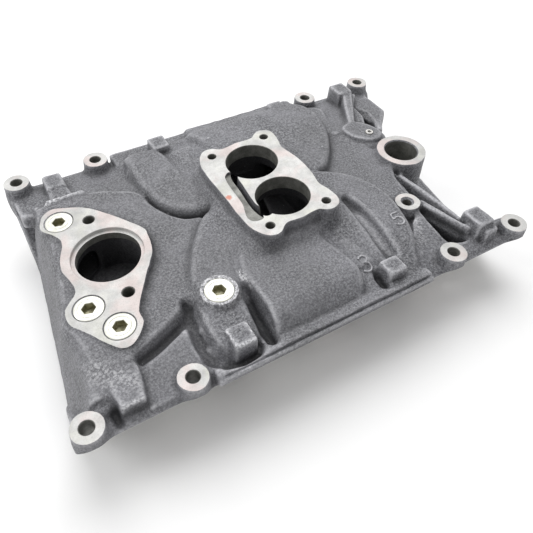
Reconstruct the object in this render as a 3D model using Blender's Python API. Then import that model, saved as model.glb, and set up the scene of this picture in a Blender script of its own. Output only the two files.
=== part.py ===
"""Intake manifold of a 90-degree V6 engine: one iron casting and the plugs screwed into it.

Lengths below are in millimetres and meshes are in metres. +X runs to the rear of the engine, +Y to the
even-numbered bank and +Z up. The origin is midway between the two bolt rows, on the plane of the end rails.
"""
import math

import bmesh
import bpy
from mathutils import Matrix, Vector

MM = 0.001

# Head faces: planes at 45 degrees that meet the end-rail plane at this distance from the centre line.
HEAD_ANGLE = math.radians(45)
FACE_FOOT = 79.2
FLANGE_THICKNESS = 17.0
FLANGE_TOP = 50.0
LOW_EDGE_Z = 47.0
LIP_EDGE_Z = 51.8

# Metal left standing past the machined outer faces until they are cut flat.
TRIM = 2.0

# Heights of the cast levels: undersides first, then tops.
RAIL_TOP = 15.0
DECK_BOTTOM = 43.0
DECK_TOP = 50.5
PANEL_BOTTOM = 44.0
HUMP_BOTTOM = 45.0
REAR_DECK_TOP = 58.0
PLATEAU_TOP = 62.5
LUG_TOP = 66.8
LUG_HALF_LENGTH = 8.0
POCKET_BOTTOM = 24.0

# Bolts: the far row is the near row turned half round the vertical axis.
BOSS_TOP = 60.0
BOSS_RADIUS = 10.5
BOSS_LENGTH = 34.0
BOLT_RADIUS = 4.65
BOLT_ROW_Y = 120.2
NEAR_BOLT_X = (-190.3, -122.15, 101.55, 169.7)

# Carburettor flange, pitched up to the rear like the thermostat pad.
PITCH = math.radians(3.97)
CARB_X = 2.7
CARB_Z = 85.3
CARB_BORE_RADIUS = 21.4
CARB_BORE_Y = 24.05
CARB_STUD_X = 25.0
CARB_STUD_Y = 47.0
CARB_STUD_RADIUS = 3.4

# Plenum chamber under the carburettor flange.
PLENUM = (-36.0, 41.0, -47.0, 47.0)
PLENUM_FLOOR = 34.0
PLENUM_CEILING = 70.0

# Thermostat pad.
PAD_X = -133.0
PAD_Z = 66.0
PAD_BORE_RADIUS = 24.25
PAD_RECESS_RADIUS = 27.0
PAD_SCREW_Y = 41.3
PAD_SCREW_RADIUS = 4.3

# Hex-socket pipe plugs: centre of each on its machined face.
PLUG_RADIUS = 10.6
PLUG_TAPER = 0.5
PLUG_LENGTH = 13.0
PLUG_CHAMFER = 0.8
SOCKET_RADIUS = 5.5
SOCKET_DEPTH = 7.5
PAD_PLUGS = {"coolant_plug_far": (-153.7, 51.4), "coolant_plug_front": (-161.1, -40.2),
             "coolant_plug_near": (-148.2, -65.0)}
RUNNER_PLUG = (-79.0, -73.5, 70.5)
RUNNER_BOSS_RADIUS = 13.2
CLEARANCE = 0.3

# Distributor collar and the boss beside it.
COLLAR = (149.9, 0.0)
COLLAR_TOP = 62.2
COLLAR_RADIUS = 22.7
COLLAR_LENGTH = 56.0
COLLAR_BORE_RADIUS = 15.05
HOLD_BOSS = (107.0, -58.5)
HOLD_BOSS_TOP = 62.0
HOLD_BOSS_RADIUS = 10.6
HOLD_HOLE_RADIUS = 4.0

# Bracket pin.
PIN = (139.9, 35.6)
PIN_RADIUS = 3.8
PIN_BORE_RADIUS = 1.8
PIN_LENGTH = 12.0
PIN_RISE = 1.2
FOOT_TOP = 63.0

# Ports in the near head face; the far ones are the same turned half round.
PORT_X = (-88.0, 25.0, 68.0)
PORT_HALF_WIDTH = 14.0
PORT_HALF_HEIGHT = 20.0
PORT_CENTRE_Z = 27.0
HEAT_PORT_X = -25.0
HEAT_PORT_Z = 20.0
COOLANT_PORT_X = -160.0
COOLANT_FAR_PORT_X = -142.0
SMALL_PORT_HALF_WIDTH = 10.0

# Metal around each passage, and how far the cutters run past the faces they open through.
PASSAGE_WALL = 5.0
PORT_OVERCUT = 6.0
HOLE_OVERCUT = 5.0
FACE_OVERCUT = 12.0


def half_turn(points):
    """Points turned half round the vertical axis."""
    return [(-x, -y, *rest) for x, y, *rest in points]


def signed_area(outline):
    total = 0.0
    for (x0, y0), (x1, y1) in zip(outline, outline[1:] + outline[:1]):
        total += x0 * y1 - x1 * y0
    return total / 2


def counter_clockwise(outline):
    return outline if signed_area(outline) > 0 else outline[::-1]


def smooth(points, steps=3):
    """Closed Catmull-Rom curve through hand-chosen points."""
    count = len(points)
    curve = []
    for i in range(count):
        p0, p1, p2, p3 = (Vector(points[(i + k) % count]) for k in (-1, 0, 1, 2))
        for step in range(steps):
            t = step / steps
            spot = 0.5 * (2 * p1 + (p2 - p0) * t + (2 * p0 - 5 * p1 + 4 * p2 - p3) * t ** 2
                          + (3 * p1 - p0 - 3 * p2 + p3) * t ** 3)
            curve.append((spot.x, spot.y))
    return curve


def circle(x, y, radius, count=24):
    return [(x + radius * math.cos(2 * math.pi * i / count), y + radius * math.sin(2 * math.pi * i / count))
            for i in range(count)]


def box_outline(x0, x1, y0, y1):
    return [(x0, y0), (x1, y0), (x1, y1), (x0, y1)]


def grown(outline, distance):
    """A counter-clockwise outline moved outward by the distance."""
    result = []
    count = len(outline)
    for i in range(count):
        before = Vector(outline[i - 1])
        here = Vector(outline[i])
        after = Vector(outline[(i + 1) % count])
        first = (here - before).normalized()
        second = (after - here).normalized()
        normal = Vector((first.y + second.y, -first.x - second.x)).normalized()
        stretch = max(0.5, normal.dot(Vector((first.y, -first.x))))
        spot = here + normal * (distance / stretch)
        result.append((spot.x, spot.y))
    return result


def mesh_object(name, rings):
    """A closed solid lofted through rings of equal length, the first and last of them capped."""
    mesh = bpy.data.meshes.new(name)
    bm = bmesh.new()
    loops = [[bm.verts.new(Vector(point) * MM) for point in ring] for ring in rings]
    count = len(rings[0])
    for lower, upper in zip(loops, loops[1:]):
        for i in range(count):
            j = (i + 1) % count
            bm.faces.new((lower[i], lower[j], upper[j], upper[i]))
    bm.faces.new(loops[0][::-1])
    bm.faces.new(loops[-1])
    bm.normal_update()
    bmesh.ops.triangulate(bm, faces=bm.faces)
    bmesh.ops.recalc_face_normals(bm, faces=bm.faces)
    bm.to_mesh(mesh)
    bm.free()
    obj = bpy.data.objects.new(name, mesh)
    bpy.context.collection.objects.link(obj)
    return obj


def prism(outline, bottom, top, flare=0.0, edge=0.0):
    """A vertical solid on an outline: top is a height or a function of x and y, edge its chamfer."""
    outline = counter_clockwise(outline)
    height = top if callable(top) else lambda x, y: top
    foot = grown(outline, flare) if flare else outline
    rings = [[(x, y, bottom) for x, y in foot]]
    if edge:
        rings.append([(x, y, height(x, y) - edge) for x, y in outline])
        outline = grown(outline, -edge)
    rings.append([(x, y, height(x, y)) for x, y in outline])
    return mesh_object("prism", rings)


def along_x(profile, x0, x1):
    """A profile of (y, z) points run from x0 to x1."""
    return mesh_object("bar", [[(x, y, z) for y, z in profile] for x in (x0, x1)])


def pitched(x0, z0):
    """Height of a machined face pitched up to the rear through (x0, z0)."""
    return lambda x, y: z0 + (x - x0) * math.tan(PITCH)


def sloped(y0, z0, y1, z1):
    """Height that falls evenly from z0 at y0 to z1 at y1."""
    return lambda x, y: z0 + (z1 - z0) * (y - y0) / (y1 - y0)


def round_bar(x, y, z, radius, length, tilt=0.0, count=24, end_radius=None):
    """A round solid whose top centre is at (x, y, z) and whose axis leans forward by the tilt."""
    end_radius = radius if end_radius is None else end_radius
    obj = mesh_object("round", [[(px, py, pz) for px, py in circle(0, 0, ring_radius, count)]
                                for ring_radius, pz in ((end_radius, -length), (radius, 0.0))])
    obj.data.transform(Matrix.Translation(Vector((x, y, z)) * MM) @ Matrix.Rotation(-tilt, 4, 'Y'))
    return obj


def combine(target, tool, operation):
    """Apply one exact Boolean to the target and discard the tool."""
    modifier = target.modifiers.new(operation.lower(), 'BOOLEAN')
    modifier.operation = operation
    modifier.solver = 'EXACT'
    modifier.object = tool
    depsgraph = bpy.context.evaluated_depsgraph_get()
    result = bpy.data.meshes.new_from_object(target.evaluated_get(depsgraph))
    target.modifiers.remove(modifier)
    former = target.data
    target.data = result
    bpy.data.meshes.remove(former)
    bpy.data.objects.remove(tool)
    return target


def rolled(outline, profile, bottom=46.0, flare=3.0):
    """An outline's prism whose top follows a (y, z) profile from one side of the engine to the other."""
    ys = [y for y, z in profile]
    closed = [(ys[-1], bottom - 4), (ys[0], bottom - 4)] + profile
    reach = [x for x, y in outline]
    body = prism(outline, bottom, max(z for y, z in profile) + 5, flare)
    return combine(body, along_x(closed, min(reach) - 20, max(reach) + 20), 'INTERSECT')


def passage(stations):
    """A tube with chamfered-box sections: each station is x, y, z, half width, half height, lean, turn.

    The section's width lies along X turned by the turn, and its height leans back from the vertical.
    """
    rings = []
    for x, y, z, half_width, half_height, lean, turn in stations:
        corner = 0.35 * min(half_width, half_height)
        section = [(half_width, -half_height + corner), (half_width, half_height - corner),
                   (half_width - corner, half_height), (-half_width + corner, half_height),
                   (-half_width, half_height - corner), (-half_width, -half_height + corner),
                   (-half_width + corner, -half_height), (half_width - corner, -half_height)]
        frame = Matrix.Rotation(turn, 4, 'Z') @ Matrix.Rotation(lean, 4, 'X')
        rings.append([tuple(Vector((x, y, z)) + frame @ Vector((u, 0, v))) for u, v in section])
    return mesh_object("passage", rings)


def runner_stations(port_x, side, wall, deep):
    """Stations from a port in the head face to the plenum; deep says how far past the face to start."""
    lean = -side * HEAD_ANGLE
    face_y = side * (FACE_FOOT + PORT_CENTRE_Z)
    start_y = face_y + side * deep
    start_z = PORT_CENTRE_Z - deep
    near_x = 14.0 if abs(port_x) < 40 else 30.0
    inner_x = math.copysign(near_x, port_x) + CARB_X
    return [(port_x, start_y, start_z, PORT_HALF_WIDTH + wall, PORT_HALF_HEIGHT + wall, lean, 0.0),
            (port_x, face_y - side * 16, PORT_CENTRE_Z + 10, PORT_HALF_WIDTH + wall,
             PORT_HALF_HEIGHT - 2 + wall, lean * 0.7, 0.0),
            (0.72 * port_x + 0.28 * inner_x, side * 66, 45.0, 14.0 + wall, 15.0 + wall, lean * 0.2, 0.0),
            (inner_x, side * 34, 49.0, 12.0 + wall, 13.0 + wall, 0.0, 0.0)]


def head_flanges():
    """The two slabs that lie on the heads."""
    inner = FACE_FOOT - FLANGE_THICKNESS
    low_edge = FACE_FOOT + LOW_EDGE_Z
    section = [(-FACE_FOOT - TRIM, -TRIM), (-inner, -TRIM), (-inner - 46.0, 46.0),
               (-inner - 46.0, FLANGE_TOP), (6.0 - low_edge, FLANGE_TOP),
               (-low_edge, LOW_EDGE_Z), (-low_edge, LOW_EDGE_Z - TRIM)]
    near = along_x(section, -199.5, 179.5)
    far = along_x([(-y, z) for y, z in section], -179.5, 199.5)
    return [near, far]


def end_rails():
    """The rails that close the valley's ends, each running askew between the heads."""
    front = [(-198.3, -84.0), (-180.0, -84.0), (-155.0, 84.0), (-176.0, 84.0)]
    return [prism(front, -TRIM, RAIL_TOP), prism(half_turn(front), -TRIM, RAIL_TOP)]


def front_wall():
    """The wall that rises from the front rail and leans back to the deck's edge."""
    ridge = [(84.0, -165.0), (38.0, -167.0), (8.0, -171.0), (-17.0, -175.0), (-42.0, -180.0),
             (-64.0, -178.0), (-88.0, -178.0), (-106.0, -182.0)]
    rings = []
    for y, x in ridge:
        foot = -187.5 + 0.137 * y
        rings.append([(foot + 16, y, 8.0), (foot + 0.5, y, 8.0), (foot + 2, y, 18.0), (x - 4, y, 50.0),
                      (x, y, 59.0), (x + 12, y, 59.0), (x + 8, y, 46.0)])
    return mesh_object("front_wall", rings)


def deck():
    """The plate between the heads that carries everything on top."""
    outline = [(-176.0, -113.0), (176.0, -113.0), (178.0, -104.0), (140.0, -100.0), (127.0, -62.0),
               (130.0, -20.0), (150.0, -8.0), (152.0, 30.0), (188.0, 70.0), (187.5, 113.0), (-168.0, 113.0)]
    return prism(outline, DECK_BOTTOM, DECK_TOP)


def rear_wall():
    """The wall from the deck's rear edge down to the rear rail, and the floor that joins them."""
    path = [(132.0, -100.0), (121.0, -60.0), (124.0, -18.0), (140.0, 14.0), (168.0, 60.0), (188.0, 70.0),
            (188.0, 100.0), (178.0, 100.0), (178.0, 78.0), (160.0, 66.0), (130.0, 20.0), (114.0, -16.0),
            (111.0, -62.0), (122.0, -102.0)]
    floor = [(122.0, -88.0), (175.0, -80.0), (190.0, 0.0), (194.0, 84.0), (176.0, 84.0), (160.0, 62.0),
             (122.0, 10.0), (112.0, -60.0)]
    return [prism(path, 6.0, 50.0), prism(floor, 4.0, 13.0)]


def plateau():
    """The raised deck over the coolant crossover."""
    outline = [(-165, 76), (-167, 38), (-171, 8), (-175, -17), (-180, -42), (-178, -64), (-178, -88),
               (-148, -93), (-130, -87.5), (-113, -80.5), (-103, -77.5), (-94, -73), (-80, -40), (-52, 2),
               (-66, 11.5), (-76.5, 25.5), (-83, 42), (-85, 57), (-100, 67), (-121, 77)]
    bar = box_outline(-156, -125, 76.5, 81.5)
    return [prism(outline, HUMP_BOTTOM, PLATEAU_TOP, 1.5, 1.5),
            prism(bar, HUMP_BOTTOM, PLATEAU_TOP + 2.0, 2.0, 1.0)]


def corner_panels():
    """Sloping panels that carry the outer bolt bosses."""
    near_front = [(-150, -80), (-98, -70), (-98, -123.5), (-153, -123.5), (-153, -106)]
    far_front = [(-179, 124), (-178, 80), (-160, 74), (-118, 74), (-82, 55), (-79, 118), (-92, 124)]
    near_rear = [(66, -122), (100, -76), (112, -68), (112, -108), (128, -114), (178, -116), (178, -124)]
    far_rear = [(104, 74), (140, 70), (150, 90), (188, 100), (198, 112), (198, 124), (112, 124)]
    near = sloped(-85, 57.5, -123.5, 52.0)
    far = sloped(80, 56.0, 125.0, 48.5)
    low = sloped(-80, 56.0, -124.0, 49.5)
    return [prism(near_front, PANEL_BOTTOM, near), prism(far_front, PANEL_BOTTOM, far),
            prism(near_rear, PANEL_BOTTOM, low), prism(far_rear, PANEL_BOTTOM, far)]


def coolant_legs():
    """Raised legs over the coolant passages, out to the front lugs."""
    near = [(-178, -60), (-150, -60), (-148, -88), (-149, -106), (-170, -109), (-187, -113), (-181, -104),
            (-179, -88)]
    far = [(-151, 72), (-133, 72), (-134, 110), (-150, 110)]
    return [prism(near, 44.5, sloped(-60, 62.0, -112, 57.0), 1.0),
            prism(far, 44.5, sloped(72, 60.5, 110, 57.5))]


def lugs():
    """Square lugs over each group of ports."""
    solids = []
    for x, y0, y1, top in ((-161.0, -119.0, -98.0, 60.5), (-82.4, -119.0, -102.0, LUG_TOP),
                           (46.5, -119.0, -102.0, LUG_TOP), (142.3, -112.7, -92.7, LUG_TOP),
                           (-142.0, 100.0, 119.0, 60.0), (-45.2, 101.0, 119.0, LUG_TOP),
                           (82.0, 101.0, 119.0, LUG_TOP), (159.0, 100.0, 119.0, LUG_TOP)):
        outline = box_outline(x - LUG_HALF_LENGTH, x + LUG_HALF_LENGTH, y0, y1)
        solids.append(prism(outline, PANEL_BOTTOM, top, 1.0, 0.8))
    return solids


def near_runners():
    """The humps over the odd bank's runners and the heat crossover."""
    runner_1 = [(-30, 5), (-52, 2), (-64, -10), (-77, -27), (-88, -47), (-94, -66), (-98, -84), (-99.5, -104),
                (-97, -114), (-90, -120), (-78, -120), (-71.5, -114), (-69, -104), (-66, -88), (-60, -72),
                (-55, -50), (-40, -40), (-20, -25)]
    crossover = [(-60, -124), (-61, -80), (-58, -62), (-50, -48), (-37, -37), (-10, -28), (14, -28),
                 (15, -124)]
    runner_3 = [(10, -26), (62, -26), (62, -123), (10, -123)]
    runner_5 = [(30, 8), (53, 7), (68, 0), (81, -13), (89.5, -29), (93, -46), (92, -61), (89, -76), (84, -91),
                (75, -105), (66, -118), (56, -120), (52, -105), (52.5, -90), (54, -75), (57, -60), (57, -45),
                (50, -32), (30, -25)]
    return [rolled(runner_1, [(20, 71), (-20, 70), (-50, 68), (-75, 66.5), (-100, 64), (-112, 62), (-117, 59),
                              (-121, 54)]),
            rolled(crossover, [(-10, 69.5), (-101, 69.5), (-107, 68.6), (-112, 66.3), (-116, 63),
                               (-119, 59.3), (-121.5, 55)]),
            rolled(runner_3, [(0, 66.5), (-35, 66), (-60, 62.5), (-100, 58.5), (-122, 56)]),
            rolled(runner_5, [(20, 69), (-60, 69), (-85, 66.5), (-110, 60), (-121, 56)])]


def far_runners():
    """The humps over the even bank's runners."""
    runner_2 = [(-80, 100), (-81, 72), (-80, 53), (-76, 35), (-67, 21.5), (-55, 14), (-43, 12), (-25, 14),
                (-25, 40), (-39, 43), (-43, 55), (-45, 68), (-47, 90), (-52, 105), (-60, 112.5), (-70, 113),
                (-77, 108)]
    runner_4 = [(-50, 121), (-50, 30), (-5, 30), (-5, 121)]
    runner_6 = [(-9, 124), (-9, 40), (0, 10), (40, 5), (66, 9), (81, 21.5), (92.5, 36), (102, 53), (107, 70),
                (109, 85), (106, 99), (101, 108), (96, 124)]
    return [rolled(runner_2, [(0, 66), (98, 66), (106, 65), (112, 62.5), (116, 58)]),
            rolled(runner_4, [(20, 65), (60, 63.5), (95, 62.5), (105, 61.5), (112, 60), (118, 57),
                              (122, 51.5)]),
            rolled(runner_6, [(0, 68.5), (98, 68.5), (106, 67.5), (112, 65), (117, 61.5), (121, 58.5),
                              (125, 57.5)])]


def lips():
    """Ledges along the top of the head flanges between the inner bolts."""
    edge = FACE_FOOT + LIP_EDGE_Z
    foot = [(-110.6, 42.3), (7.0 - edge, 42.3), (-edge, LIP_EDGE_Z - TRIM)]
    ridge = [(-edge, 56.0), (1.6 - edge, 56.0), (2.4 - edge, 54.8), (3.6 - edge, 56.4), (5.0 - edge, 58.0),
             (10.0 - edge, 58.0), (-110.6, 53.0)]
    plain = [(-edge, LIP_EDGE_Z), (3.0 - edge, 53.5), (-110.6, 54.0)]
    near = along_x(foot + ridge, -108.0, 74.0)
    far = along_x([(-y, z) for y, z in foot + ridge], -10.4, 105.3)
    far_front = along_x([(-y, z + 0.4) for y, z in foot + plain], -86.0, -7.7)
    return [near, far, far_front]


def rear_deck():
    """The deck behind the runners, with its ribs, bracket foot and corner block."""
    outline = [(60, -40), (92, -64), (105, -66), (119, -55), (124, -28), (134, -16), (136, 16), (128, 25),
               (119, 37), (116, 52), (124, 76), (126, 106), (60, 106)]
    near_rib = [(113.5, -62), (120.5, -60), (136.5, -98), (129.5, -101)]
    lower_rib = [(128, -22), (133, -24), (136, -60), (146, -96), (140, -98), (130, -60)]
    ridge = [(125, 52), (137, 46), (167, 104), (156, 108)]
    foot = smooth([(121, 54), (121, 42), (127, 31.5), (137, 25), (146, 25.5), (152.5, 33), (150, 44),
                   (142, 56), (130, 58.5)])
    block = [(172, 97), (190, 100), (190, 71), (180, 64), (171, 76)]
    return [prism(outline, HUMP_BOTTOM, REAR_DECK_TOP, 2.0), prism(near_rib, 12.0, 55.0, 0.5),
            prism(lower_rib, 10.0, 46.0), prism(ridge, PANEL_BOTTOM, sloped(46, 63.0, 108, 66.0), 2.0),
            prism(foot, 47.0, FOOT_TOP, 1.0, 1.0),
            prism(block, 10.0, 51.5, 0.5, 1.0)]


def bosses():
    """Columns of the bolts, the distributor collar, the hold-down hole and the runner plug."""
    solids = []
    near = [(x, -BOLT_ROW_Y) for x in NEAR_BOLT_X]
    for x, y in near + half_turn(near):
        solids.append(round_bar(x, y, BOSS_TOP, BOSS_RADIUS, BOSS_LENGTH, end_radius=BOSS_RADIUS + 1.5))
    solids.append(round_bar(*COLLAR, COLLAR_TOP, COLLAR_RADIUS, COLLAR_LENGTH, count=32,
                            end_radius=COLLAR_RADIUS + 2))
    solids.append(round_bar(*HOLD_BOSS, HOLD_BOSS_TOP, HOLD_BOSS_RADIUS, 26.0, end_radius=12.0))
    solids.append(round_bar(*RUNNER_PLUG, RUNNER_BOSS_RADIUS, 24.0, end_radius=15.0))
    return solids


def machined_pads():
    """The thermostat pad and the carburettor flange on its plenum."""
    pad = smooth([(-168.4, 50.5), (-163.4, 62.6), (-155.6, 67.6), (-147.9, 66.1), (-131, 56),
                  (-116.6, 38.4), (-101.6, 13.6),
                  (-99.7, 2.5), (-104.4, -16), (-119, -37.7), (-131.9, -58.1), (-133.5, -70.5),
                  (-144.4, -81.9), (-155, -80), (-169.2, -56.7), (-175.6, -44), (-174.5, -34), (-164.5, -22),
                  (-164.8, -8), (-166.3, 2.5), (-163.9, 14.4), (-158.3, 28), (-161, 38.5)], 2)
    half = [(-36.5, 0), (-36.5, 34), (-33, 48), (-26, 56.5), (-18, 56.5), (-11, 51.5), (3, 52.5), (17, 51.5),
            (22, 55), (28, 57), (35, 54), (37.5, 47), (36, 36), (34, 27), (36.5, 13), (37.5, 0)]
    flange = half + [(x, -y) for x, y in half[-2:0:-1]]
    plenum = smooth([(-44, -44), (-44, 44), (-30, 56), (0, 58), (30, 56), (46, 44), (46, -44), (30, -56),
                     (0, -58), (-30, -56)], 2)
    return [prism(plenum, 18.0, 77.0, -2.0, 3.0), prism(flange, 70.0, pitched(CARB_X, CARB_Z), 1.0),
            prism(pad, 48.0, pitched(PAD_X, PAD_Z), 0.5)]


def inner_bodies():
    """Metal around the passages under the deck."""
    solids = []
    for x in PORT_X:
        solids.append(passage(runner_stations(x, -1, PASSAGE_WALL, 0.0)))
        solids.append(passage(runner_stations(-x, 1, PASSAGE_WALL, 0.0)))
    solids.append(passage(heat_stations(PASSAGE_WALL, 0.0)))
    solids.append(passage(coolant_stations(PASSAGE_WALL, 0.0)))
    solids.append(round_bar(PAD_X, 0.0, 56.0, PAD_BORE_RADIUS + 6, 32.0))
    return solids


def heat_stations(wall, deep):
    """The exhaust-heated crossover under the plenum, from head to head."""
    z = HEAT_PORT_Z
    end = FACE_FOOT + z
    half = SMALL_PORT_HALF_WIDTH + wall
    return [(HEAT_PORT_X, -end - deep, z - deep, half, 13 + wall, HEAD_ANGLE, 0.0),
            (HEAT_PORT_X, -end + 20, z + 4, half, 9 + wall, HEAD_ANGLE * 0.3, 0.0),
            (0.0, 0.0, z + 0.5, 14 + wall, 8 + wall, 0.0, 0.0),
            (-HEAT_PORT_X, end - 20, z + 4, half, 9 + wall, -HEAD_ANGLE * 0.3, 0.0),
            (-HEAT_PORT_X, end + deep, z - deep, half, 13 + wall, -HEAD_ANGLE, 0.0)]


def coolant_stations(wall, deep):
    """The coolant crossover under the thermostat, from head to head."""
    z = PORT_CENTRE_Z
    end = FACE_FOOT + z
    half = SMALL_PORT_HALF_WIDTH + wall
    return [(COOLANT_PORT_X, -end - deep, z - deep, half, 15 + wall, HEAD_ANGLE, 0.0),
            (COOLANT_PORT_X, -end + 24, z + 12, half, 11 + wall, HEAD_ANGLE * 0.3, 0.0),
            (-150.0, 0.0, z + 14, 12 + wall, 11 + wall, 0.0, 0.0),
            (COOLANT_FAR_PORT_X, end - 24, z + 12, half, 11 + wall, -HEAD_ANGLE * 0.3, 0.0),
            (COOLANT_FAR_PORT_X, end + deep, z - deep, half, 15 + wall, -HEAD_ANGLE, 0.0)]


def outside_heads():
    """Space beyond the two head faces and under the rails, cut away so that those faces are flat."""
    near = [(-FACE_FOOT + 10, -10.0), (-FACE_FOOT - 62.0, 62.0), (-190.0, 62.0), (-190.0, -10.0)]
    far = [(-y, z) for y, z in near]
    under = [(-120.0, 0.0), (-120.0, -30.0), (120.0, -30.0), (120.0, 0.0)]
    return [along_x(profile, -230.0, 230.0) for profile in (near, far, under)]


def pockets():
    """Deep pockets each side of the rib beside the near rear corner, and inside the bracket."""
    beside_rib = [(114, -70), (118.5, -70), (130.5, -101), (126, -108), (114, -106)]
    in_bracket = [(158, 58), (168, 70), (167, 86), (160, 84), (153, 66)]
    above = LUG_TOP + FACE_OVERCUT
    return [prism(beside_rib, POCKET_BOTTOM, above), prism(in_bracket, POCKET_BOTTOM, above)]


def openings():
    """Every passage, bore and hole, as the solids that cut them."""
    cutters = [prism(box_outline(*PLENUM), PLENUM_FLOOR, PLENUM_CEILING)]
    for x in PORT_X:
        cutters.append(passage(runner_stations(x, -1, 0.0, PORT_OVERCUT)))
        cutters.append(passage(runner_stations(-x, 1, 0.0, PORT_OVERCUT)))
    cutters.append(passage(heat_stations(0.0, PORT_OVERCUT)))
    cutters.append(passage(coolant_stations(0.0, PORT_OVERCUT)))
    rise_x = -FACE_OVERCUT * math.sin(PITCH)
    rise_z = FACE_OVERCUT * math.cos(PITCH)
    for y in (-CARB_BORE_Y, CARB_BORE_Y):
        cutters.append(round_bar(CARB_X + rise_x, y, CARB_Z + rise_z, CARB_BORE_RADIUS, 38.0, PITCH, 32))
    slot = [(-26.0, -35.0), (-17.0, -35.0), (-17.0, 20.0), (-22.0, 24.0), (-26.0, 20.0)]
    cutters.append(prism(slot, CARB_Z - 9.0, CARB_Z + FACE_OVERCUT))
    for x in (-CARB_STUD_X, CARB_STUD_X):
        for y in (-CARB_STUD_Y, CARB_STUD_Y):
            cutters.append(round_bar(CARB_X + x, y, CARB_Z + FACE_OVERCUT, CARB_STUD_RADIUS, 28.0, count=12))
    cutters.append(round_bar(PAD_X + rise_x, 0, PAD_Z + rise_z, PAD_RECESS_RADIUS, FACE_OVERCUT + 3, PITCH,
                             32))
    cutters.append(round_bar(PAD_X + rise_x, 0, PAD_Z + rise_z, PAD_BORE_RADIUS, 40.0, PITCH, 32))
    for y in (-PAD_SCREW_Y, PAD_SCREW_Y):
        cutters.append(round_bar(PAD_X, y, PAD_Z + 6, PAD_SCREW_RADIUS, 26.0, PITCH, 12))
    near = [(x, -BOLT_ROW_Y) for x in NEAR_BOLT_X]
    for x, y in near + half_turn(near):
        cutters.append(round_bar(x, y, BOSS_TOP + HOLE_OVERCUT, BOLT_RADIUS, 60.0, count=16))
    cutters.append(round_bar(*COLLAR, COLLAR_TOP + HOLE_OVERCUT, COLLAR_BORE_RADIUS, 90.0, count=32))
    cutters.append(round_bar(*HOLD_BOSS, HOLD_BOSS_TOP + HOLE_OVERCUT, HOLD_HOLE_RADIUS, 25.0, count=16))
    cutters.append(round_bar(*PIN, FOOT_TOP + HOLE_OVERCUT, PIN_RADIUS + CLEARANCE,
                             PIN_LENGTH + HOLE_OVERCUT + CLEARANCE, count=16))
    for x, y, z, tilt in plug_places():
        cutters.append(plug_hole(x, y, z, tilt))
    return cutters


def plug_places():
    """Top centre and tilt of every hex-socket plug."""
    on_pad = pitched(PAD_X, PAD_Z)
    places = [(x, y, on_pad(x, y), PITCH) for x, y in PAD_PLUGS.values()]
    return places + [(*RUNNER_PLUG, 0.0)]


def plug_hole(x, y, z, tilt):
    """The tapered hole that a plug fills, a clearance wider than the plug."""
    widening = PLUG_TAPER * HOLE_OVERCUT / PLUG_LENGTH
    rings = []
    for radius, height in ((PLUG_RADIUS - PLUG_TAPER, -PLUG_LENGTH - CLEARANCE),
                           (PLUG_RADIUS + widening, HOLE_OVERCUT)):
        rings.append([(px, py, height) for px, py in circle(0, 0, radius + CLEARANCE)])
    hole = mesh_object("plug_hole", rings)
    hole.data.transform(Matrix.Translation(Vector((x, y, z)) * MM) @ Matrix.Rotation(-tilt, 4, 'Y'))
    return hole


def principled(name, colour, roughness, metallic):
    material = bpy.data.materials.new(name)
    material.use_nodes = True
    shader = material.node_tree.nodes["Principled BSDF"]
    shader.inputs["Base Color"].default_value = (*colour, 1.0)
    shader.inputs["Roughness"].default_value = roughness
    shader.inputs["Metallic"].default_value = metallic
    return material


def finish(obj, name, material):
    """Name the piece, give it its material and shade its round faces smooth."""
    obj.name = name
    obj.data.name = name
    obj.data.materials.clear()
    obj.data.materials.append(material)
    obj.data.shade_smooth()
    obj.data.set_sharp_from_angle(angle=math.radians(30))


def tidy_mesh(obj):
    """Weld the slivers that the cuts leave and make every face a triangle."""
    bm = bmesh.new()
    bm.from_mesh(obj.data)
    bmesh.ops.remove_doubles(bm, verts=bm.verts, dist=0.00002)
    bmesh.ops.dissolve_degenerate(bm, edges=bm.edges, dist=0.00001)
    bmesh.ops.triangulate(bm, faces=bm.faces)
    bm.to_mesh(obj.data)
    bm.free()


def manifold_casting():
    parts = head_flanges() + end_rails() + [front_wall(), deck()] + rear_wall() + inner_bodies()
    parts += plateau() + corner_panels() + coolant_legs() + lips() + near_runners() + far_runners()
    parts += rear_deck() + lugs() + machined_pads() + bosses()
    casting = parts[0]
    for solid in parts[1:]:
        combine(casting, solid, 'UNION')
    for cutter in outside_heads() + pockets() + openings():
        combine(casting, cutter, 'DIFFERENCE')
    tidy_mesh(casting)
    finish(casting, "manifold_casting", principled("cast_iron", (0.11, 0.11, 0.115), 0.62, 0.5))


def hex_plugs():
    steel = principled("plug_steel", (0.62, 0.6, 0.52), 0.35, 0.9)
    for name, (x, y, z, tilt) in zip(list(PAD_PLUGS) + ["runner_plug"], plug_places()):
        rings = [[(px, py, height) for px, py in circle(0, 0, radius)]
                 for radius, height in ((PLUG_RADIUS - PLUG_TAPER, -PLUG_LENGTH),
                                        (PLUG_RADIUS, -PLUG_CHAMFER),
                                        (PLUG_RADIUS - PLUG_CHAMFER, 0.0))]
        plug = mesh_object(name, rings)
        socket = mesh_object("socket", [[(px, py, height) for px, py in circle(0, 0, SOCKET_RADIUS, 6)]
                                        for height in (-SOCKET_DEPTH, HOLE_OVERCUT)])
        combine(plug, socket, 'DIFFERENCE')
        plug.location = Vector((x, y, z)) * MM
        plug.rotation_euler = (0.0, -tilt, 0.0)
        finish(plug, name, steel)


def bracket_pin():
    """A short hollow pin pressed into the bracket's foot."""
    pin = round_bar(*PIN, FOOT_TOP + PIN_RISE, PIN_RADIUS, PIN_LENGTH, count=16)
    combine(pin, round_bar(*PIN, FOOT_TOP + HOLE_OVERCUT, PIN_BORE_RADIUS, 8.0, count=12), 'DIFFERENCE')
    finish(pin, "bracket_pin", principled("pin_steel", (0.55, 0.55, 0.55), 0.4, 0.9))


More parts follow.
